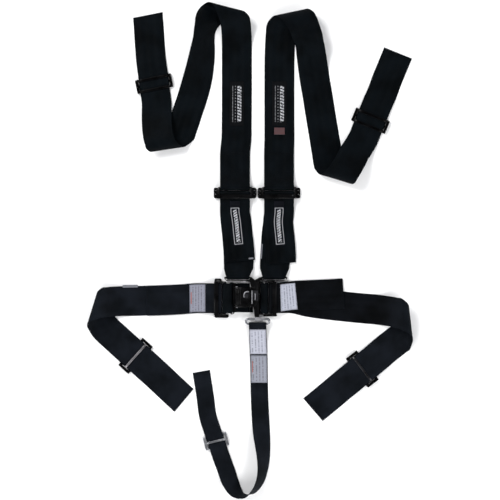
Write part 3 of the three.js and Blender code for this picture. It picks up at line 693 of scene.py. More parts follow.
def webbing_profile(width):
    """Rounded woven edges, a shallow groove inside each, and a flat middle."""
    rim = [(0, 0), (0.3, 0.55), (0.9, 0.8), (3.0, 0.8), (3.5, 0.66), (4.0, 0.8)]
    middle = [(width * share, 0.8) for share in (0.2, 0.35, 0.5, 0.65, 0.8)]
    top = rim + middle + [(width - across, height) for across, height in reversed(rim)]
    bottom = [(across, -height) for across, height in reversed(top[1:-1])]
    return top + bottom


def sheet_profile(thick, columns):
    """A thin flat strip with softened edges, its faces up from zero."""
    rounding = 0.25

    def profile(width):
        inner = [
            (rounding + (width - 2 * rounding) * k / columns, thick) for k in range(columns + 1)
        ]
        top = [(0, thick * 0.6), *inner, (width, thick * 0.6)]
        return top + [(width, 0), (0, 0)]

    return profile


def attach(piece, body, slot):
    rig.ride(piece, body)
    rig.slot(piece, slot)
    return piece


def stand_for(piece, node, slot):
    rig.ride(piece, BODY_OF[node])
    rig.replaces(piece, node)
    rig.slot(piece, slot)
    return piece


def declare(piece, lines, held, rests_on, with_pieces=()):
    width = lines[len(lines) // 2].width * MM
    length = (lines[-1].along - lines[0].along) * MM
    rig.sheet(piece, flat=(width, length), held=held, rests_on=rests_on, with_pieces=list(with_pieces))


def belt(node, lines, look):
    piece = ribbon(node + "_cloth", lines, look, webbing_profile, wavy=0.12)
    return stand_for(piece, node, "webbing")


def on_top(name, lines, start, end, left, right, look, thick=0.5, base=0.0):
    """A strip on the upper face of a run."""
    part = stretch(lines, start, end)
    up = upper_side(part[0])
    width = (right - left) * part[0].half
    profile = sheet_profile(thick, max(4, round(width / FINE_STEP)))
    low = THICK / 2 + GAP + base

    def facing(width_here):
        return [(across, up * height) for across, height in profile(width_here)]

    return ribbon(name, part, look, facing, left, right, up * low)


def sewn_on(node, lines, start, end, left, right, look, thick=0.5, base=0.0, slot="label"):
    """A label or tab on the upper face of a run, replacing its CAD node."""
    piece = on_top(node + "_cloth", lines, start, end, left, right, look, thick, base)
    return stand_for(piece, node, slot)


def thin_mark(name, body, lines, start, end, left, right, look, base=0.55):
    """A thin raised mark on a label or on the webbing. No CAD node stands for it."""
    piece = on_top(name, lines, start, end, left, right, look, 0.12, base)
    return attach(piece, body, "label")


class Stitching:
    """Collects single stitches, as small capsules, and makes one mesh of them."""

    PITCH = 3.2
    RADIUS = 0.36

    def __init__(self, name, body, look):
        self.name = name
        self.body = body
        self.look = look
        self.points = []
        self.faces = []

    def capsule(self, start, end, up):
        way = end - start
        side = way.normalized().cross(up).normalized()
        sides = 6
        rings = [(0.0, 0.35), (0.16, 0.85), (0.5, 1.0), (0.84, 0.85), (1.0, 0.35)]
        first = len(self.points)
        for share, swell in rings:
            for k in range(sides):
                angle = 2 * math.pi * k / sides
                ring = side * math.cos(angle) + up * math.sin(angle)
                self.points.append(start + way * share + ring * self.RADIUS * swell)
        self.faces += walls(len(rings), sides, first)
        self.faces.append(lid(first, sides)[::-1])
        self.faces.append(lid(first + (len(rings) - 1) * sides, sides))

    def seam(self, lines, corners, base=0.0):
        """Stitches along straight stretches between corners, (distance along, distance across)."""
        for (d0, s0), (d1, s1) in zip(corners, corners[1:]):
            count = max(1, round(math.hypot(d1 - d0, s1 - s0) / self.PITCH))
            for n in range(count):
                ends = []
                for share in ((n + 0.12) / count, (n + 0.88) / count):
                    line = line_at(lines, d0 + (d1 - d0) * share)
                    up = line.normal * upper_side(line)
                    lift = THICK / 2 + base + self.RADIUS * 0.35
                    side = s0 + (s1 - s0) * share
                    ends.append(line.at + line.across * side + up * lift)
                self.capsule(*ends, up)

    def row(self, lines, distance, reach):
        """One row straight across the webbing."""
        self.seam(lines, [(distance, -reach), (distance, reach)])

    def outline(self, lines, start, end, half, base=0.0, inset=1.5):
        a, b, h = start + inset, end - inset, half - inset
        self.seam(lines, [(a, -h), (b, -h), (b, h), (a, h), (a, -h)], base)

    def box_seam(self, lines, start, end, half):
        """The usual load-bearing pattern: an outline with zigzag rows in it."""
        self.outline(lines, start, end, half, inset=0)
        rows = 7
        zigzag = []
        for n in range(rows + 1):
            side = -half + 2 * half * n / rows
            zigzag.append((start + 1.5 if n % 2 else end - 1.5, side))
        self.seam(lines, zigzag)

    def make(self):
        piece = mesh_object(self.name, self.points, self.faces, self.look)
        return attach(piece, self.body, "webbing")


# ---- The belts' routes ----
def on_adjuster(key, u, z, direction):
    """A station at the distance u from an adjuster's centre, along its belt."""
    (x, y), along = ADJUSTERS[key]
    return (x + u * cosd(along), y + u * sind(along), z, direction)


def along_adjuster(key, direction, *stops):
    """Stations at pairs of distance u and height."""
    return [on_adjuster(key, u, z, direction) for u, z in stops]


def around(key, u, radius, sign, direction):
    """Half a turn round the bar at u."""
    stops = [(u + sign * radius * cosd(angle), BAR_Z + radius * sind(angle)) for angle in HALF_TURN]
    return along_adjuster(key, direction, *stops)


def threaded(key, before, after, direction):
    """Straight through a three-bar slide."""
    (x, y), along = SLIDES[key][:2]
    return [
        (x + d * cosd(along), y + d * sind(along), THREADED, direction)
        for d in (-before, -before / 2, 0, after / 2, after)
    ]


def from_adjuster(key, direction):
    """The upper webbing's start: sewn down, round the fixed bar and back over itself."""
    return [
        *along_adjuster(key, direction, (96, FLOOR), (60, FLOOR), (32, 1.1), (20, 2.6)),
        *around(key, BAR_U, WRAP_FIXED, -1, direction),
        *along_adjuster(key, direction, (22, 10.6), (40, 5.4), (60, 3.1), (98, SECOND)),
    ]


UPPER_LEFT = [
    *from_adjuster("sl", 0),
    (-46, 400, 1.6, 0),
    (-45.4, 440, FLOOR, 0),
    (-45, 540, FLOOR, 0),
    (-45, 610, FLOOR, 0),
    (-45, 640, 3, 0),
    (-46, 668, 12, 0),
    (-49, 695, 24, -3),
    (-56, 716, 33, -8),
    (-67, 730, 31, -13),
    (-79, 733, 18, -17),
    (-93, 725, 7, -20),
    (-108, 710, 2, -15, -20),
    (-120, 690, FLOOR, -6, -40),
    (-126.5, 670, FLOOR, 0, -46),
    (-129, 650, FLOOR, 0, -45),
    (-131.6, 625, FLOOR, -5, -37),
    (-136, 594, FLOOR, -9, -28),
    (-142, 563.6, FLOOR, -11, -19),
    (-149.7, 533, FLOOR, -12, -8),
    (-159, 502, FLOOR, -12.6),
    (-169, 472, FLOOR, -13),
    (-180, 438, FLOOR, -12),
    (-193, 405, FLOOR, -8),
    (-208, 383, 5, 2),
    (-222, 371, 18, 9),
    (-235, 379, 31, 10),
    (-243, 398, 31, 9.5),
    (-247, 420, 22, 8),
    (-249, 444, 11, 7.5),
    (-249.3, 467, 5, 7.5),
    *threaded("sl", 50, 50, 7.5),
    (-264.5, 606, 2.4, 7),
    (-265.6, 622, 1.2, 6.5),
    (-267, 640, FLOOR, 6),
    (-269.8, 684, FLOOR, 7),
    (-272, 714, FLOOR, 11),
]
UPPER_RIGHT = [
    *from_adjuster("sr", 180),
    (63.5, 400, 1.6, 180),
    (63.5, 440, FLOOR, 180),
    (63.5, 540, FLOOR, 180),
    (64.5, 625, FLOOR, 180),
    (66, 655, FLOOR, 181),
    (69.5, 684, FLOOR, 184),
    (78, 706, 6, 188),
    (92, 719, 18, 192),
    (107, 712, 31, 194),
    (121, 693, 32, 195),
    (131, 669, 24, 194),
    (139.5, 642, 6, 190, -20),
    (144.5, 612, FLOOR, 189, -12),
    (148.5, 585, FLOOR, 189, -4),
    (152, 560, FLOOR, 188.5),
    (161.7, 502, FLOOR, 189),
    (171.5, 441, FLOOR, 189),
    (176.7, 410.6, FLOOR, 189),
    (183.5, 368, FLOOR, 187),
    (189, 336, FLOOR, 182),
    (197, 311, 5, 172),
    (208, 295, 18, 163),
    (219, 302, 31, 158),
    (231, 319, 31, 155),
    (245, 343, 22, 155),
    (256, 364, 12, 157),
    (267, 381, 5.5, 158),
    *threaded("sr", 50, 50, 157.8),
    (322.5, 508, 2.4, 158),
    (328.5, 523, 1.2, 158),
    (334.5, 540, FLOOR, 158),
    (350, 578, FLOOR, 158),
    (366, 617, FLOOR, 158),
]


def lower_route(key, bar_x, tang_z, tail_end, drift, bulge):
    """Sewn round the tang's bar, up round the lock bar and back as the tail, which drifts sideways."""
    (x0, y0), _ = ADJUSTERS[key]
    bar_z = tang_z + PLATE / 2
    wrap = TANG_BAR_R + SHEET - THICK / 2
    top = bar_z + wrap
    lean = 5
    gathered = 65
    spreading = 74.5

    def ease(y):
        return bar_x + (x0 - bar_x) * (y - TANG_BAR_Y) / (y0 - TANG_BAR_Y)

    def straight(y, share, z, width):
        return (ease(y) + share * bulge, y, z, 0, 0, width)

    ring = [
        (bar_x, TANG_BAR_Y - wrap * cosd(angle), bar_z + wrap * sind(angle), 0, 0, AT_TANG)
        for angle in HALF_TURN
    ]
    tail = [
        (189, 0.15, SECOND + 0.4),
        (160, 0.4, SECOND + 0.2),
        (140, 0.6, 4.1),
        (122, 0.75, THIRD + 0.1),
        (100, 0.9, THIRD + 0.1),
        (tail_end, 1, THIRD + 0.4),
    ]
    return [
        straight(112, 1, FLOOR, WIDE - 2),
        straight(84, 1, FLOOR, WIDE - 2),
        straight(68, 0.8, 0.6 * FLOOR + 0.4 * (bar_z - wrap), spreading),
        straight(55, 0.3, bar_z - wrap - 0.3, gathered),
        *ring,
        straight(55, 0.3, 0.85 * top + 0.6, gathered),
        straight(68, 0.8, 0.35 * top + 2.3, spreading),
        straight(84, 1, SECOND + 0.2, WIDE),
        straight(114, 1, SECOND, WIDE),
        straight(130, 0.8, 1.8, WIDE),
        straight(150, 0.5, FLOOR, WIDE),
        *along_adjuster(key, 0, (-50, FLOOR), (-30, 1.7), (-14, 2.9)),
        *around(key, LOCK_U, WRAP_LOCK, 1, 0),
        *along_adjuster(key, 0, (-14, 11.6), (-30, 7.8)),
        on_adjuster(key, -50, 4.3, lean * 0.6),
        *[(ease(y) + share * drift, y, z, lean) for y, share, z in tail],
    ]


def aside(place, rise, share):
    """A station moved sideways, and turned by as many degrees."""
    x, y, z, direction = place
    return (x, y + rise * share, z, direction + rise * min(share, 0.9))


def into_lock(key, direction, rise):
    """From the tail, which may turn aside, round the lock bar and out under itself."""
    return [
        aside(on_adjuster(key, -62, SECOND + 0.4, direction), rise, 1),
        aside(on_adjuster(key, -46, 4.6, direction), rise, 0.75),
        aside(on_adjuster(key, -30, 7.8, direction), rise, 0.4),
        on_adjuster(key, -14, 11.6, direction),
        *reversed(around(key, LOCK_U, WRAP_LOCK, 1, direction)),
        *along_adjuster(key, direction, (-14, 2.9), (-30, 1.7), (-50, FLOOR)),
    ]


LAP_LEFT = [
    (-276, -15, SECOND + 0.3, 94),
    (-240, -14, SECOND + 0.1, 92),
    (-190, -11.5, SECOND + 0.1, 92),
    *into_lock("ll", 90, 0),
    (-190, -11, FLOOR, 92),
    (-250, -13.5, FLOOR, 92),
    (-300, -15, FLOOR, 92),
    (-328, -15.5, 2.4, 91),
    (-352, -16, 9, 88),
    (-375, -17.5, 20, 84),
    (-395, -21, 31, 78),
    (-408, -28, 31, 74),
    (-413, -39, 18, 72),
    (-405, -54, 5, 68),
    (-391, -72, FLOOR, 60),
    (-374, -91, FLOOR, 52),
    (-354, -109, 2, 49),
    *threaded("ll", 45, 45, 48),
    (-261, -193, 2.2, 48),
    (-249, -204, FLOOR, 48),
    (-215, -236, FLOOR, 48),
    (-179.8, -268.8, FLOOR, 50),
]
LAP_RIGHT = [
    (227, 4.3, SECOND + 0.3, 93.5),
    (190, 2.2, SECOND + 0.1, 93),
    (140, 0, SECOND + 0.1, 94),
    *into_lock("lr", 90, 6),
    (140, -18, FLOOR, 86),
    (228, -29.3, FLOOR, 84),
    (284, -34.8, FLOOR, 84.5),
    (311, -37, 2.4, 85),
    (334, -40, 9, 87),
    (356, -43.5, 20, 90),
    (376, -49, 31, 94),
    (390, -58, 31, 96),
    (397, -71, 18, 97),
    (391, -88, 5, 103),
    (378, -104, FLOOR, 114),
    (357, -121, FLOOR, 124),
    (334, -139, 2, 128.5),
    *threaded("lr", 45, 45, 129.5),
    (231, -224.5, 2.2, 129.5),
    (219, -234.5, FLOOR, 129.5),
    (185, -263, FLOOR, 130),
    (149, -292.5, FLOOR, 130.5),
]

RING_X = 8
RING_WIRE = 2.5
RING_Y = (-73.5, -61)
RING_Z = TONGUE_Z + PLATE / 2
RING_HALF = 30
RING_WRAP = RING_WIRE + SHEET - THICK / 2
CROTCH = [
    (10.5, -146, FLOOR, 0),
    (9, -110, FLOOR, 0),
    (8.2, -94, 2.2, 0),
    (8, -84, 4.8, 0),
    *[
        (RING_X, RING_Y[0] + RING_WRAP * cosd(angle), RING_Z + RING_WRAP * sind(angle), 0)
        for angle in HALF_TURN
    ],
    (8, -84, 12, 0),
    (8.2, -98, 8.2, 0),
    (8.8, -116, 4.6, 0),
    (9.8, -140, SECOND, 0),
    (10.4, -154, SECOND, 0),
    (10.9, -168, 1.8, 0),
    (11.3, -184, FLOOR, 0),
    (12.9, -263, FLOOR, 0),
    (15.8, -324, FLOOR, 0),
    (18, -355, FLOOR, -2, -11),
    (20.7, -385, FLOOR, -3, -28),
    (22.5, -416, FLOOR, -5, -42),
    (20.5, -446, FLOOR, -10, -54),
    (12.5, -477, FLOOR, -25, -62),
    (-6, -502, FLOOR, -52, -75),
    (-25, -510, FLOOR, -88, -98),
    (-44, -501, FLOOR, -130, -130),
    (-60, -479, FLOOR, -155, -158),
    (-71, -450, 1.6, 18),
    *threaded("cr", 44, 42, 18.8),
    (-115.5, -321, 2.2, 18),
    (-119, -308, FLOOR, 17),
    (-125, -264, FLOOR, 12),
    (-135.7, -195, FLOOR, 10),
]


def loop_route(latch_bar, belt_bar, y):
    """A short loop round two bars, (x, z, radius of its path), joined on its underside."""
    way = math.copysign(1, belt_bar[0] - latch_bar[0])

    def arc(bar, start, end):
        x, z, r = bar
        angles = [start + (end - start) * n / 6 for n in range(7)]
        return [(x + way * r * cosd(a), y, z + r * sind(a), 90) for a in angles]

    def middle(t):
        low = (latch_bar[1] - latch_bar[2], belt_bar[1] - belt_bar[2])
        x = latch_bar[0] + (belt_bar[0] - latch_bar[0]) * t
        return (x, y, low[0] + (low[1] - low[0]) * t, 90)

    return [middle(0.45), *arc(latch_bar, 275, 90), *arc(belt_bar, 90, -90), middle(0.6)]


# Each loop's bar at the latch or the link, its bar in the adjuster, and its y.
LOOPS = {
    "link_loop": (
        (19, 5, 3.45),
        (ADJUSTERS["lr"][0][0] - BAR_U, BAR_Z, WRAP_FIXED),
        ADJUSTERS["lr"][0][1],
    ),
    "latch_loop": (
        (-60, LATCH_Z + PLATE / 2, 3.6),
        (ADJUSTERS["ll"][0][0] + BAR_U, BAR_Z, WRAP_FIXED),
        ADJUSTERS["ll"][0][1],
    ),
}


# ---- Belts with what is sewn on them ----
HEM = 5


def make_shoulder(side, upper_route, lower_stations, patch_x, tab_end_x, looks):
    body = BODY_OF[side + "_tang"]
    upper = run(upper_route, WIDE)
    lower = run(lower_stations, WIDE)
    (adjuster_x, adjuster_y), _ = ADJUSTERS[side]
    half = WIDE / 2
    tab_half = 0.33
    patch_half = 0.48
    upper_piece = belt(side + "_upper_webbing", upper, looks["webbing"])
    lower_piece = belt(side + "_lower_webbing", lower, looks["webbing"])

    tab_from = nearest(lower, adjuster_x, 238, 10)
    tab_to = nearest(lower, tab_end_x, 124, THIRD)
    label_from = nearest(lower, patch_x, 222, 6)
    tab_place = (tab_from, tab_to, -tab_half, tab_half)
    tab = sewn_on(side + "_release_tab", lower, *tab_place, looks["tab"], 1.2, slot="webbing")
    label_place = (label_from, tab_to - 3, -0.3, 0.3)
    tab_label = sewn_on(side + "_tab_label", lower, *label_place, looks["tab_label"], 0.4, 1.5)
    patch_ends = [nearest(upper, patch_x, 431), nearest(upper, patch_x, 543)]
    patch_place = (*patch_ends, -patch_half, patch_half)
    patch = sewn_on(side + "_patch", upper, *patch_place, looks["patch_" + side], slot="patch")

    sewing = Stitching(side + "_stitching", body, looks["thread"])
    fixed_turn = nearest(upper, adjuster_x, adjuster_y + BAR_U - WRAP_FIXED, BAR_Z)
    sewing.box_seam(upper, fixed_turn + 28, fixed_turn + 52, half - 6)
    for offset in (94, 97, 100):
        sewing.row(upper, fixed_turn + offset, half - 5)
    end = lower[-1].along
    sewing.row(lower, end - HEM, half - 4)
    sewing.row(upper, upper[-1].along - HEM, half - 4)
    sewing.outline(lower, label_from - 3, tab_to - 0.5, tab_half * half, 1.5, inset=0.7)
    sewing.outline(upper, *patch_ends, patch_half * half, 0.8, inset=1.2)
    stitches = sewing.make()

    on_upper = [patch]
    on_lower = [tab, tab_label, stitches]
    if side == "sl":
        # A pale strip at the end of the left tail is a painted glint on its cut corner.
        corner = (end - 7, end - 3, 0.58, 0.9)
        on_lower.append(thin_mark("sl_tail_glint", body, lower, *corner, looks["label"], 0.1))
    if side == "sr":
        small = [nearest(upper, 63.5, 407), nearest(upper, 63.5, 427)]
        on_upper.append(
            sewn_on("sr_small_patch", upper, *small, -0.35, 0.35, looks["small_patch"])
        )
        tag = [nearest(lower, 53, 94, SECOND), nearest(lower, 55, 132, SECOND)]
        sewn_on("sr_edge_tag", lower, *tag, -0.96, -0.89, looks["label"])
    declare(upper_piece, upper, "folded", ["floor", side + "_adjuster"], on_upper)
    declare(lower_piece, lower, "folded", ["floor", side + "_tang"], on_lower)


def make_lap(side, route, label_span, label_y, edges, loop_node, looks):
    lines = run(route, WIDE)
    half = WIDE / 2
    piece = belt(side + "_webbing", lines, looks["lap_right" if side == "lr" else "lap_webbing"])
    label_ends = sorted(
        (nearest(lines, label_span[0], label_y, 7), nearest(lines, label_span[1], label_y, 6))
    )
    label = sewn_on(side + "_label", lines, *label_ends, *edges, looks["label_" + side])
    sewing = Stitching(side + "_stitching", BODY_OF[side + "_webbing"], looks["thread"])
    end = lines[-1].along
    sewing.row(lines, HEM, half - 4)
    sewing.row(lines, end - HEM, half - 4)
    middle = (edges[0] + edges[1]) / 2 * half
    reach = (edges[1] - edges[0]) / 2 * half - 1.2
    a, b = label_ends[0] + 1.2, label_ends[1] - 1.2
    corners = [(a, middle - reach), (b, middle - reach), (b, middle + reach), (a, middle + reach)]
    sewing.seam(lines, [*corners, corners[0]], 0.8)
    pieces = [label, sewing.make()]
    if side == "ll":
        peek = [nearest(lines, -296, -15, 0), nearest(lines, -336, -15, 0)]
        tag = sewn_on("ll_edge_tag", lines, *peek, 0.9, 1.08, looks["label"])
        pieces.append(tag)
        line_at_label = nearest(lines, -161.5, -11, 5)
        red = (line_at_label - 0.9, line_at_label + 0.9, -0.37, 0.42)
        body = BODY_OF["ll_webbing"]
        pieces.append(thin_mark("ll_label_line", body, lines, *red, looks["red_print"]))
    declare(piece, lines, "folded", ["floor", side + "_adjuster"], pieces)

    loop = run(loop_route(*LOOPS[loop_node]), WIDE, 2.2)
    loop_piece = belt(loop_node, loop, looks["webbing"])
    declare(loop_piece, loop, "folded", [side + "_adjuster"])


def make_crotch(looks):
    lines = run(CROTCH, NARROW)
    half = NARROW / 2
    piece = belt("crotch_webbing", lines, looks["lap_webbing"])

    def where(y, z):
        return nearest(lines, 10, y, z)

    upper = [where(-88, 11), where(-152, 4)]
    lower = [where(-155, 4), where(-224, 2)]
    labels = [
        sewn_on("crotch_label_upper", lines, *upper, -0.94, 0.94, looks["label_crotch"]),
        sewn_on("crotch_label_lower", lines, *lower, -0.92, 0.92, looks["label_lower"]),
    ]
    red = (where(-168, 3), where(-196, 2), -0.78, -0.71)
    labels.append(thin_mark("crotch_label_line", "crotch", lines, *red, looks["red_print"]))
    sewing = Stitching("crotch_stitching", "crotch", looks["thread"])
    sewing.outline(lines, *upper, 0.94 * half, 0.8)
    sewing.outline(lines, *lower, 0.92 * half, 0.8)
    sewing.row(lines, lines[-1].along - HEM, half - 3)
    declare(piece, lines, "folded", ["floor", "crotch_ring"], [*labels, sewing.make()])


# ---- Metal ----
def soften(node, look, width):
    """Rounds a CAD node's edges and gives it its material."""
    obj = frame["nodes"][node]
    obj.data.materials.clear()
    obj.data.materials.append(look)
    obj.data.polygons.foreach_set("use_smooth", [True] * len(obj.data.polygons))
    weld = obj.modifiers.new("weld", "WELD")
    weld.merge_threshold = 0.00001
    bevel = obj.modifiers.new("bevel", "BEVEL")
    bevel.width = width * MM
    bevel.segments = 2
    bevel.limit_method = "ANGLE"
    bevel.angle_limit = math.radians(32)
    bevel.harden_normals = True


def tube(name, path, radius, look, body, slot, closed=False, sides=16):
    """A round wire along a path of points. radius is one value, or one for each point."""
    points = []
    count = len(path)
    radii = radius if isinstance(radius, list) else [radius] * count
    for i, here in enumerate(path):
        if closed:
            way = path[(i + 1) % count] - path[i - 1]
        else:
            way = path[min(i + 1, count - 1)] - path[max(i - 1, 0)]
        way.normalize()
        side = way.cross(Vector((0, 0, 1)))
        if side.length < 0.05:
            side = way.cross(Vector((0, 1, 0)))
        side.normalize()
        up = side.cross(way)
        for k in range(sides):
            angle = 2 * math.pi * k / sides
            points.append(here + (side * math.cos(angle) + up * math.sin(angle)) * radii[i])
    faces = walls(count, sides, closed=closed)
    if not closed:
        faces.append(lid(0, sides)[::-1])
        faces.append(lid((count - 1) * sides, sides))
    return attach(mesh_object(name, points, faces, look), body, slot)


def make_ring(look):
    """The crotch ring: round wire in a rounded oblong, thinner where the webbing goes round it."""
    corner = 7
    thicker = 0.9
    path = []
    x0, x1 = RING_X - RING_HALF, RING_X + RING_HALF
    y0, y1 = RING_Y
    for cx, cy, start in (
        (x1 - corner, y0 + corner, -90),
        (x1 - corner, y1 - corner, 0),
        (x0 + corner, y1 - corner, 90),
        (x0 + corner, y0 + corner, 180),
    ):
        for n in range(9):
            angle = start + 90 * n / 8
            path.append(Vector((cx + corner * cosd(angle), cy + corner * sind(angle), RING_Z)))
    under_webbing = (y0 + y1) / 2
    radii = [RING_WIRE + (0 if point.y < under_webbing else thicker) for point in path]
    piece = tube("crotch_ring_wire", path, radii, look, "crotch", "chrome", closed=True)
    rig.replaces(piece, "crotch_ring")


def dome(name, x, y, z, radius, height, look, body, slot="hardware"):
    """A rivet or pin head: a low dome with a small flat on top."""
    profile = [(1.0, 0.0), (1.0, 0.25), (0.93, 0.5), (0.75, 0.78), (0.45, 0.95), (0.2, 1.0)]
    sides = 24
    points = []
    for share, lift in profile:
        for k in range(sides):
            angle = 2 * math.pi * k / sides
            reach = radius * share
            at_x = x + reach * math.cos(angle)
            at_y = y + reach * math.sin(angle)
            points.append(Vector((at_x, at_y, z + height * lift)))
    attach(mesh_object(name, points, capped(len(profile), sides), look), body, slot)


def rounded_bar(key, name, u0, u1, v0, v1, low, high, look):
    """A bar across a slide, with rounded long edges, in the slide's own frame."""
    (x, y), along, turn = SLIDES[key][:3]
    heading = math.radians(along + turn)
    middle = (low + high) / 2
    half_u = (u1 - u0) / 2
    half_z = (high - low) / 2
    steps = 20
    points = []
    cuts = [v0 + (v1 - v0) * n / 6 for n in range(7)]
    for v in cuts:
        for k in range(steps):
            angle = 2 * math.pi * k / steps
            c, s = math.cos(angle), math.sin(angle)
            u = (u0 + u1) / 2 + half_u * math.copysign(abs(c) ** 0.55, c)
            z = middle + half_z * math.copysign(abs(s) ** 0.75, s)
            at_x = x + u * math.cos(heading) - v * math.sin(heading)
            at_y = y + u * math.sin(heading) + v * math.cos(heading)
            points.append(Vector((at_x, at_y, z)))
    piece = mesh_object(name, points, capped(len(cuts), steps), look)
    return attach(piece, BODY_OF[key + "_slide"], "chrome" if key == "cr" else "hardware")


def make_slide(key, frame_look, centre_look):
    """Two rails that end in rounded corners, two outer bars and a centre bar, made of rounded bars."""
    inner, on_top_of_webbing = SLIDES[key][3:]
    half = 17.5
    rail = 6.5
    bar = 7
    centre_half = 2.6
    bar_thick = 2.6
    under = (0.1, THREADED - THICK / 2 - GAP)
    above = (THREADED + THICK / 2 + GAP, THREADED + THICK / 2 + GAP + bar_thick)
    outer, centre = (above, under) if on_top_of_webbing else (under, above)
    across = (-inner - 1, inner + 1)
    rails = []
    for n, v in enumerate((-inner - rail, inner)):
        size = (-half, half, v, v + rail, 0.1, above[1])
        rails.append(rounded_bar(key, f"{key}_slide_rail_{n}", *size, frame_look))
    for n, u in enumerate((-half, half - bar)):
        rounded_bar(key, f"{key}_slide_bar_{n}", u, u + bar, *across, *outer, frame_look)
    rounded_bar(key, f"{key}_slide_centre", -centre_half, centre_half, *across, *centre, centre_look)
    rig.replaces(rails[0], key + "_slide")


def make_latch_details(looks):
    """The lever's grip ribs, its spring, the bright edges and the rivets."""
    steel, bare = looks["steel"], looks["bare"]
    top = 25.5
    for n, x in enumerate((-44.5, -40.5, -36.5)):
        path = [Vector((x, y, top)) for y in (-24, -12, 2, 14)]
        tube(f"lever_rib_{n}", path, 0.9, steel, "lever", "hardware", sides=10)
    front = [Vector((-6.6, y, top - 0.6)) for y in (-22, -10, 2, 12)]
    tube("lever_front_edge", front, 0.9, bare, "lever", "chrome", sides=12)
    claw = [Vector((1.6, y, 22.3)) for y in (-12, -6, 0, 5)]
    tube("hook_edge", claw, 0.8, bare, "lever", "chrome", sides=12)
    bend = ((-27, -6, 23.2), (-27, 1, 23.2), (-26, 5, 23.4), (-23, 8, 23.6), (-19, 9, 23.6), (-14, 9, 23.4))
    tube("spring_leg", [Vector(point) for point in bend], 1.3, bare, "lever", "chrome", sides=12)
    pivot_x, pivot_z = -45, 20.5
    coil_radius = 5.58
    wire = 0.46
    pitch = 1.6
    turns = 3
    per_turn = 14
    for side, y_start in (("low", -26.2), ("high", 11.5)):
        coil = []
        for n in range(turns * per_turn + 1):
            angle = 2 * math.pi * n / per_turn
            x = pivot_x + coil_radius * math.cos(angle)
            z = pivot_z + coil_radius * math.sin(angle)
            coil.append(Vector((x, y_start + pitch * n / per_turn, z)))
        tube(f"spring_{side}", coil, wire, steel, "lever", "hardware", sides=8)
    dome("post_cap", 0, 0, POST_TOP - 0.05, 2.6, 0.9, bare, "link", "chrome")
    for n, (x, y) in enumerate(((-49, -24), (-49, 14))):
        dome(f"base_rivet_{n}", x, y, LATCH_Z + PLATE - 0.1, 2.2, 1.2, steel, "latch")


def make_tang_edges(looks):
    """A bright rod along the front edge of each tang's slotted bar: its polished edge with a painted highlight,
    brighter on the left tang.
    """
    radius = 0.8
    for side, body, left, right, z in (
        ("sl", "shoulder_left", -69, -21, TANG_L_Z),
        ("sr", "shoulder_right", 23, 70, TANG_R_Z),
    ):
        y = TANG_FRONT[side] + 0.85
        path = [Vector((x, y, z + PLATE - 0.5)) for x in (left, left + 12, right - 12, right)]
        tube(side + "_tang_lip_highlight", path, radius, looks["lip_" + side], body, "hardware", sides=12)


def make_metal(looks):
    for key in ADJUSTERS:
        soften(f"{key}_adjuster", looks["steel"], 0.5)
        soften(f"{key}_lock_bar", looks["steel"], 0.5)
    for key in ("sl", "sr"):
        make_slide(key, looks["slide"], looks["slide"])
    for key in ("ll", "lr"):
        # The lap slides' centre bars carry a painted highlight.
        make_slide(key, looks["slide"], looks["bar_" + key])
    make_slide("cr", looks["chrome"], looks["chrome"])
    for node in ("sl_tang", "sr_tang", "link_plate", "latch_base", "lever"):
        soften(node, looks["steel"], 0.45)
    soften("crotch_tongue", looks["tongue"], 0.45)
    soften("latch_pin", looks["bare"], 0.4)
    soften("lever_hook", looks["dark_chrome"], 0.4)
    make_ring(looks["chrome"])
    make_latch_details(looks)
    make_tang_edges(looks)


def make_pad(looks):
    """The pad of webbing cloth under the latch, with the flap that shows below it."""
    lines = run([(-66, -7, FLOOR, 90), (-40, -7, FLOOR, 90), (-12, -7, FLOOR, 90)], 74)
    piece = belt("latch_pad", lines, looks["webbing"])
    flap_lines = run([(-11.6, -34, FLOOR, 90), (-8, -34, FLOOR, 90), (-4, -34, FLOOR, 90)], 20)
    flap = ribbon("latch_pad_flap", flap_lines, looks["webbing"], webbing_profile)
    attach(flap, "latch", "webbing")
    declare(piece, lines, "laid", ["floor"], [flap])


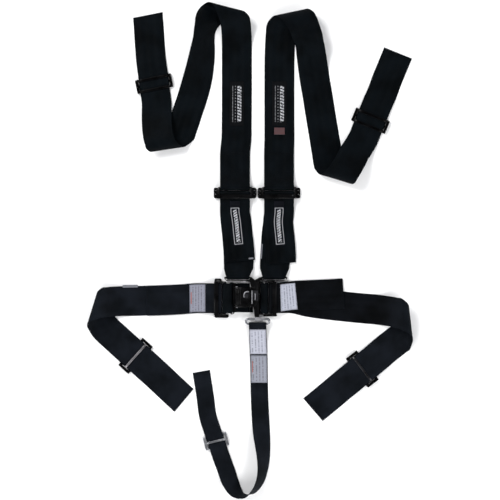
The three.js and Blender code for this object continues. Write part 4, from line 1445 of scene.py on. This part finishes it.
def make_looks():
    steel = ((0.0004, 0.0004, 0.0005), (0.0014, 0.0014, 0.0018))
    # Painted light: the lap and crotch webbing is painted lighter than the shoulder webbing, which is the same black
    # cloth.
    lap_painted_lighter = ((0.0019, 0.0027, 0.0038), (0.0056, 0.0072, 0.0104))
    patch = (0.0016, 0.002, 0.0028)
    ink = (0.04, 0.04, 0.05)
    pale_mark = (0.5, 0.51, 0.54)
    tongue_end = (RING_Y[1] + 5) * MM
    rows = printed_rows(7.2, False, 0.47, 0.55)
    turned_rows = printed_rows(8.2, True, 0.47, 0.5)
    sparse_rows = printed_rows(4.6, False, 0.6, 0.4)
    return {
        "webbing": webbing_material(
            "shoulder_webbing", (0.0002, 0.0007, 0.0011), (0.0015, 0.0028, 0.0041)
        ),
        "lap_webbing": webbing_material("lap_webbing", *lap_painted_lighter),
        # The right lap belt has painted shade over its first 560 mm.
        "lap_right": webbing_material("lap_right", *lap_painted_lighter, 560),
        "red_print": cloth_label("red_print", (0.34, 0.07, 0.04), ink, sparse_rows),
        "tab": webbing_material("tab_webbing", (0.0018, 0.0021, 0.0032), (0.0056, 0.0063, 0.0095)),
        "thread": thread_material(),
        "steel": metal_material("black_steel", *steel, 0.3, 0.0, 0.27, 0.2, 0.2),
        "tongue": metal_material("tongue_steel", *steel, 0.3, 0.0, 0.27, 0.2, 0.2, tongue_end),
        "chrome": metal_material("chrome", (0.17, 0.175, 0.19), (0.3, 0.305, 0.32), 0.22, 0.6, 0.0),
        "dark_chrome": metal_material(
            "dark_plate", (0.012, 0.012, 0.014), (0.03, 0.03, 0.034), 0.3, 0.5, 0.2
        ),
        "bare": metal_material(
            "bare_steel", (0.3, 0.3, 0.32), (0.36, 0.36, 0.38), 0.35, 0.2, 0.0, 0.4, 0.0
        ),
        "slide": metal_material("slide_steel", *steel, 0.34, 0.0, 0.27, 0.07, 0.2),
        # Painted highlight on the lap slides' centre bars: bright on the left slide, dim on the right.
        "bar_ll": metal_material("bar_painted_highlight", (0.1, 0.095, 0.1), (0.22, 0.21, 0.22), 0.3, 0.5, 0.0),
        "bar_lr": metal_material(
            "bar_dim_painted_highlight", (0.008, 0.008, 0.009), (0.025, 0.025, 0.028), 0.3, 0.5, 0.2
        ),
        # The tang lips' colours are a painted highlight: bright on the left tang, dim on the right.
        "lip_sl": metal_material("lip_painted_highlight", (0.32, 0.31, 0.33), (0.46, 0.45, 0.47), 0.3, 0.4, 0.0),
        "lip_sr": metal_material("lip_dim_painted_highlight", (0.012, 0.012, 0.014), (0.08, 0.08, 0.09), 0.32, 0.5, 0.3),
        "tab_label": cloth_label("tab_label", (0.003, 0.0035, 0.005), pale_mark, framed_marks),
        "patch_sl": cloth_label("patch_left", patch, pale_mark, patch_marks(1)),
        "patch_sr": cloth_label("patch_right", patch, pale_mark, patch_marks(-1)),
        "small_patch": cloth_label("small_patch", (0.085, 0.035, 0.035), (0.06, 0.055, 0.062), striped),
        "label": cloth_label("pale_label", (0.16, 0.165, 0.185), ink, sparse_rows),
        "label_ll": cloth_label("lap_label_left", (0.24, 0.245, 0.295), ink, rows),
        "label_lr": cloth_label("lap_label_right", (0.41, 0.425, 0.495), ink, rows),
        "label_crotch": cloth_label("crotch_label", (0.44, 0.45, 0.52), ink, turned_rows),
        "label_lower": cloth_label("crotch_label_low", (0.27, 0.28, 0.325), ink, turned_rows),
    }


make_camera()
make_studio()
looks = make_looks()
make_shoulder("sl", UPPER_LEFT, lower_route("sl", -43, TANG_L_Z, 86, 8, 4), -45, -41, looks)
make_shoulder("sr", UPPER_RIGHT, lower_route("sr", 49.7, TANG_R_Z, 80, 16, 0), 63.5, 66, looks)
make_lap("ll", LAP_LEFT, (-125, -165), -11, (-0.92, 0.92), "latch_loop", looks)
make_lap("lr", LAP_RIGHT, (64, 107), -4, (-0.92, 0.85), "link_loop", looks)
make_crotch(looks)
make_pad(looks)
make_metal(looks)

sizes = {
    "cad": [list(corner) for corner in CAD_BOX],
    "visual": [list(corner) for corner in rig.bounds()],
}
with open("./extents.json", "w") as out:
    json.dump(sizes, out)
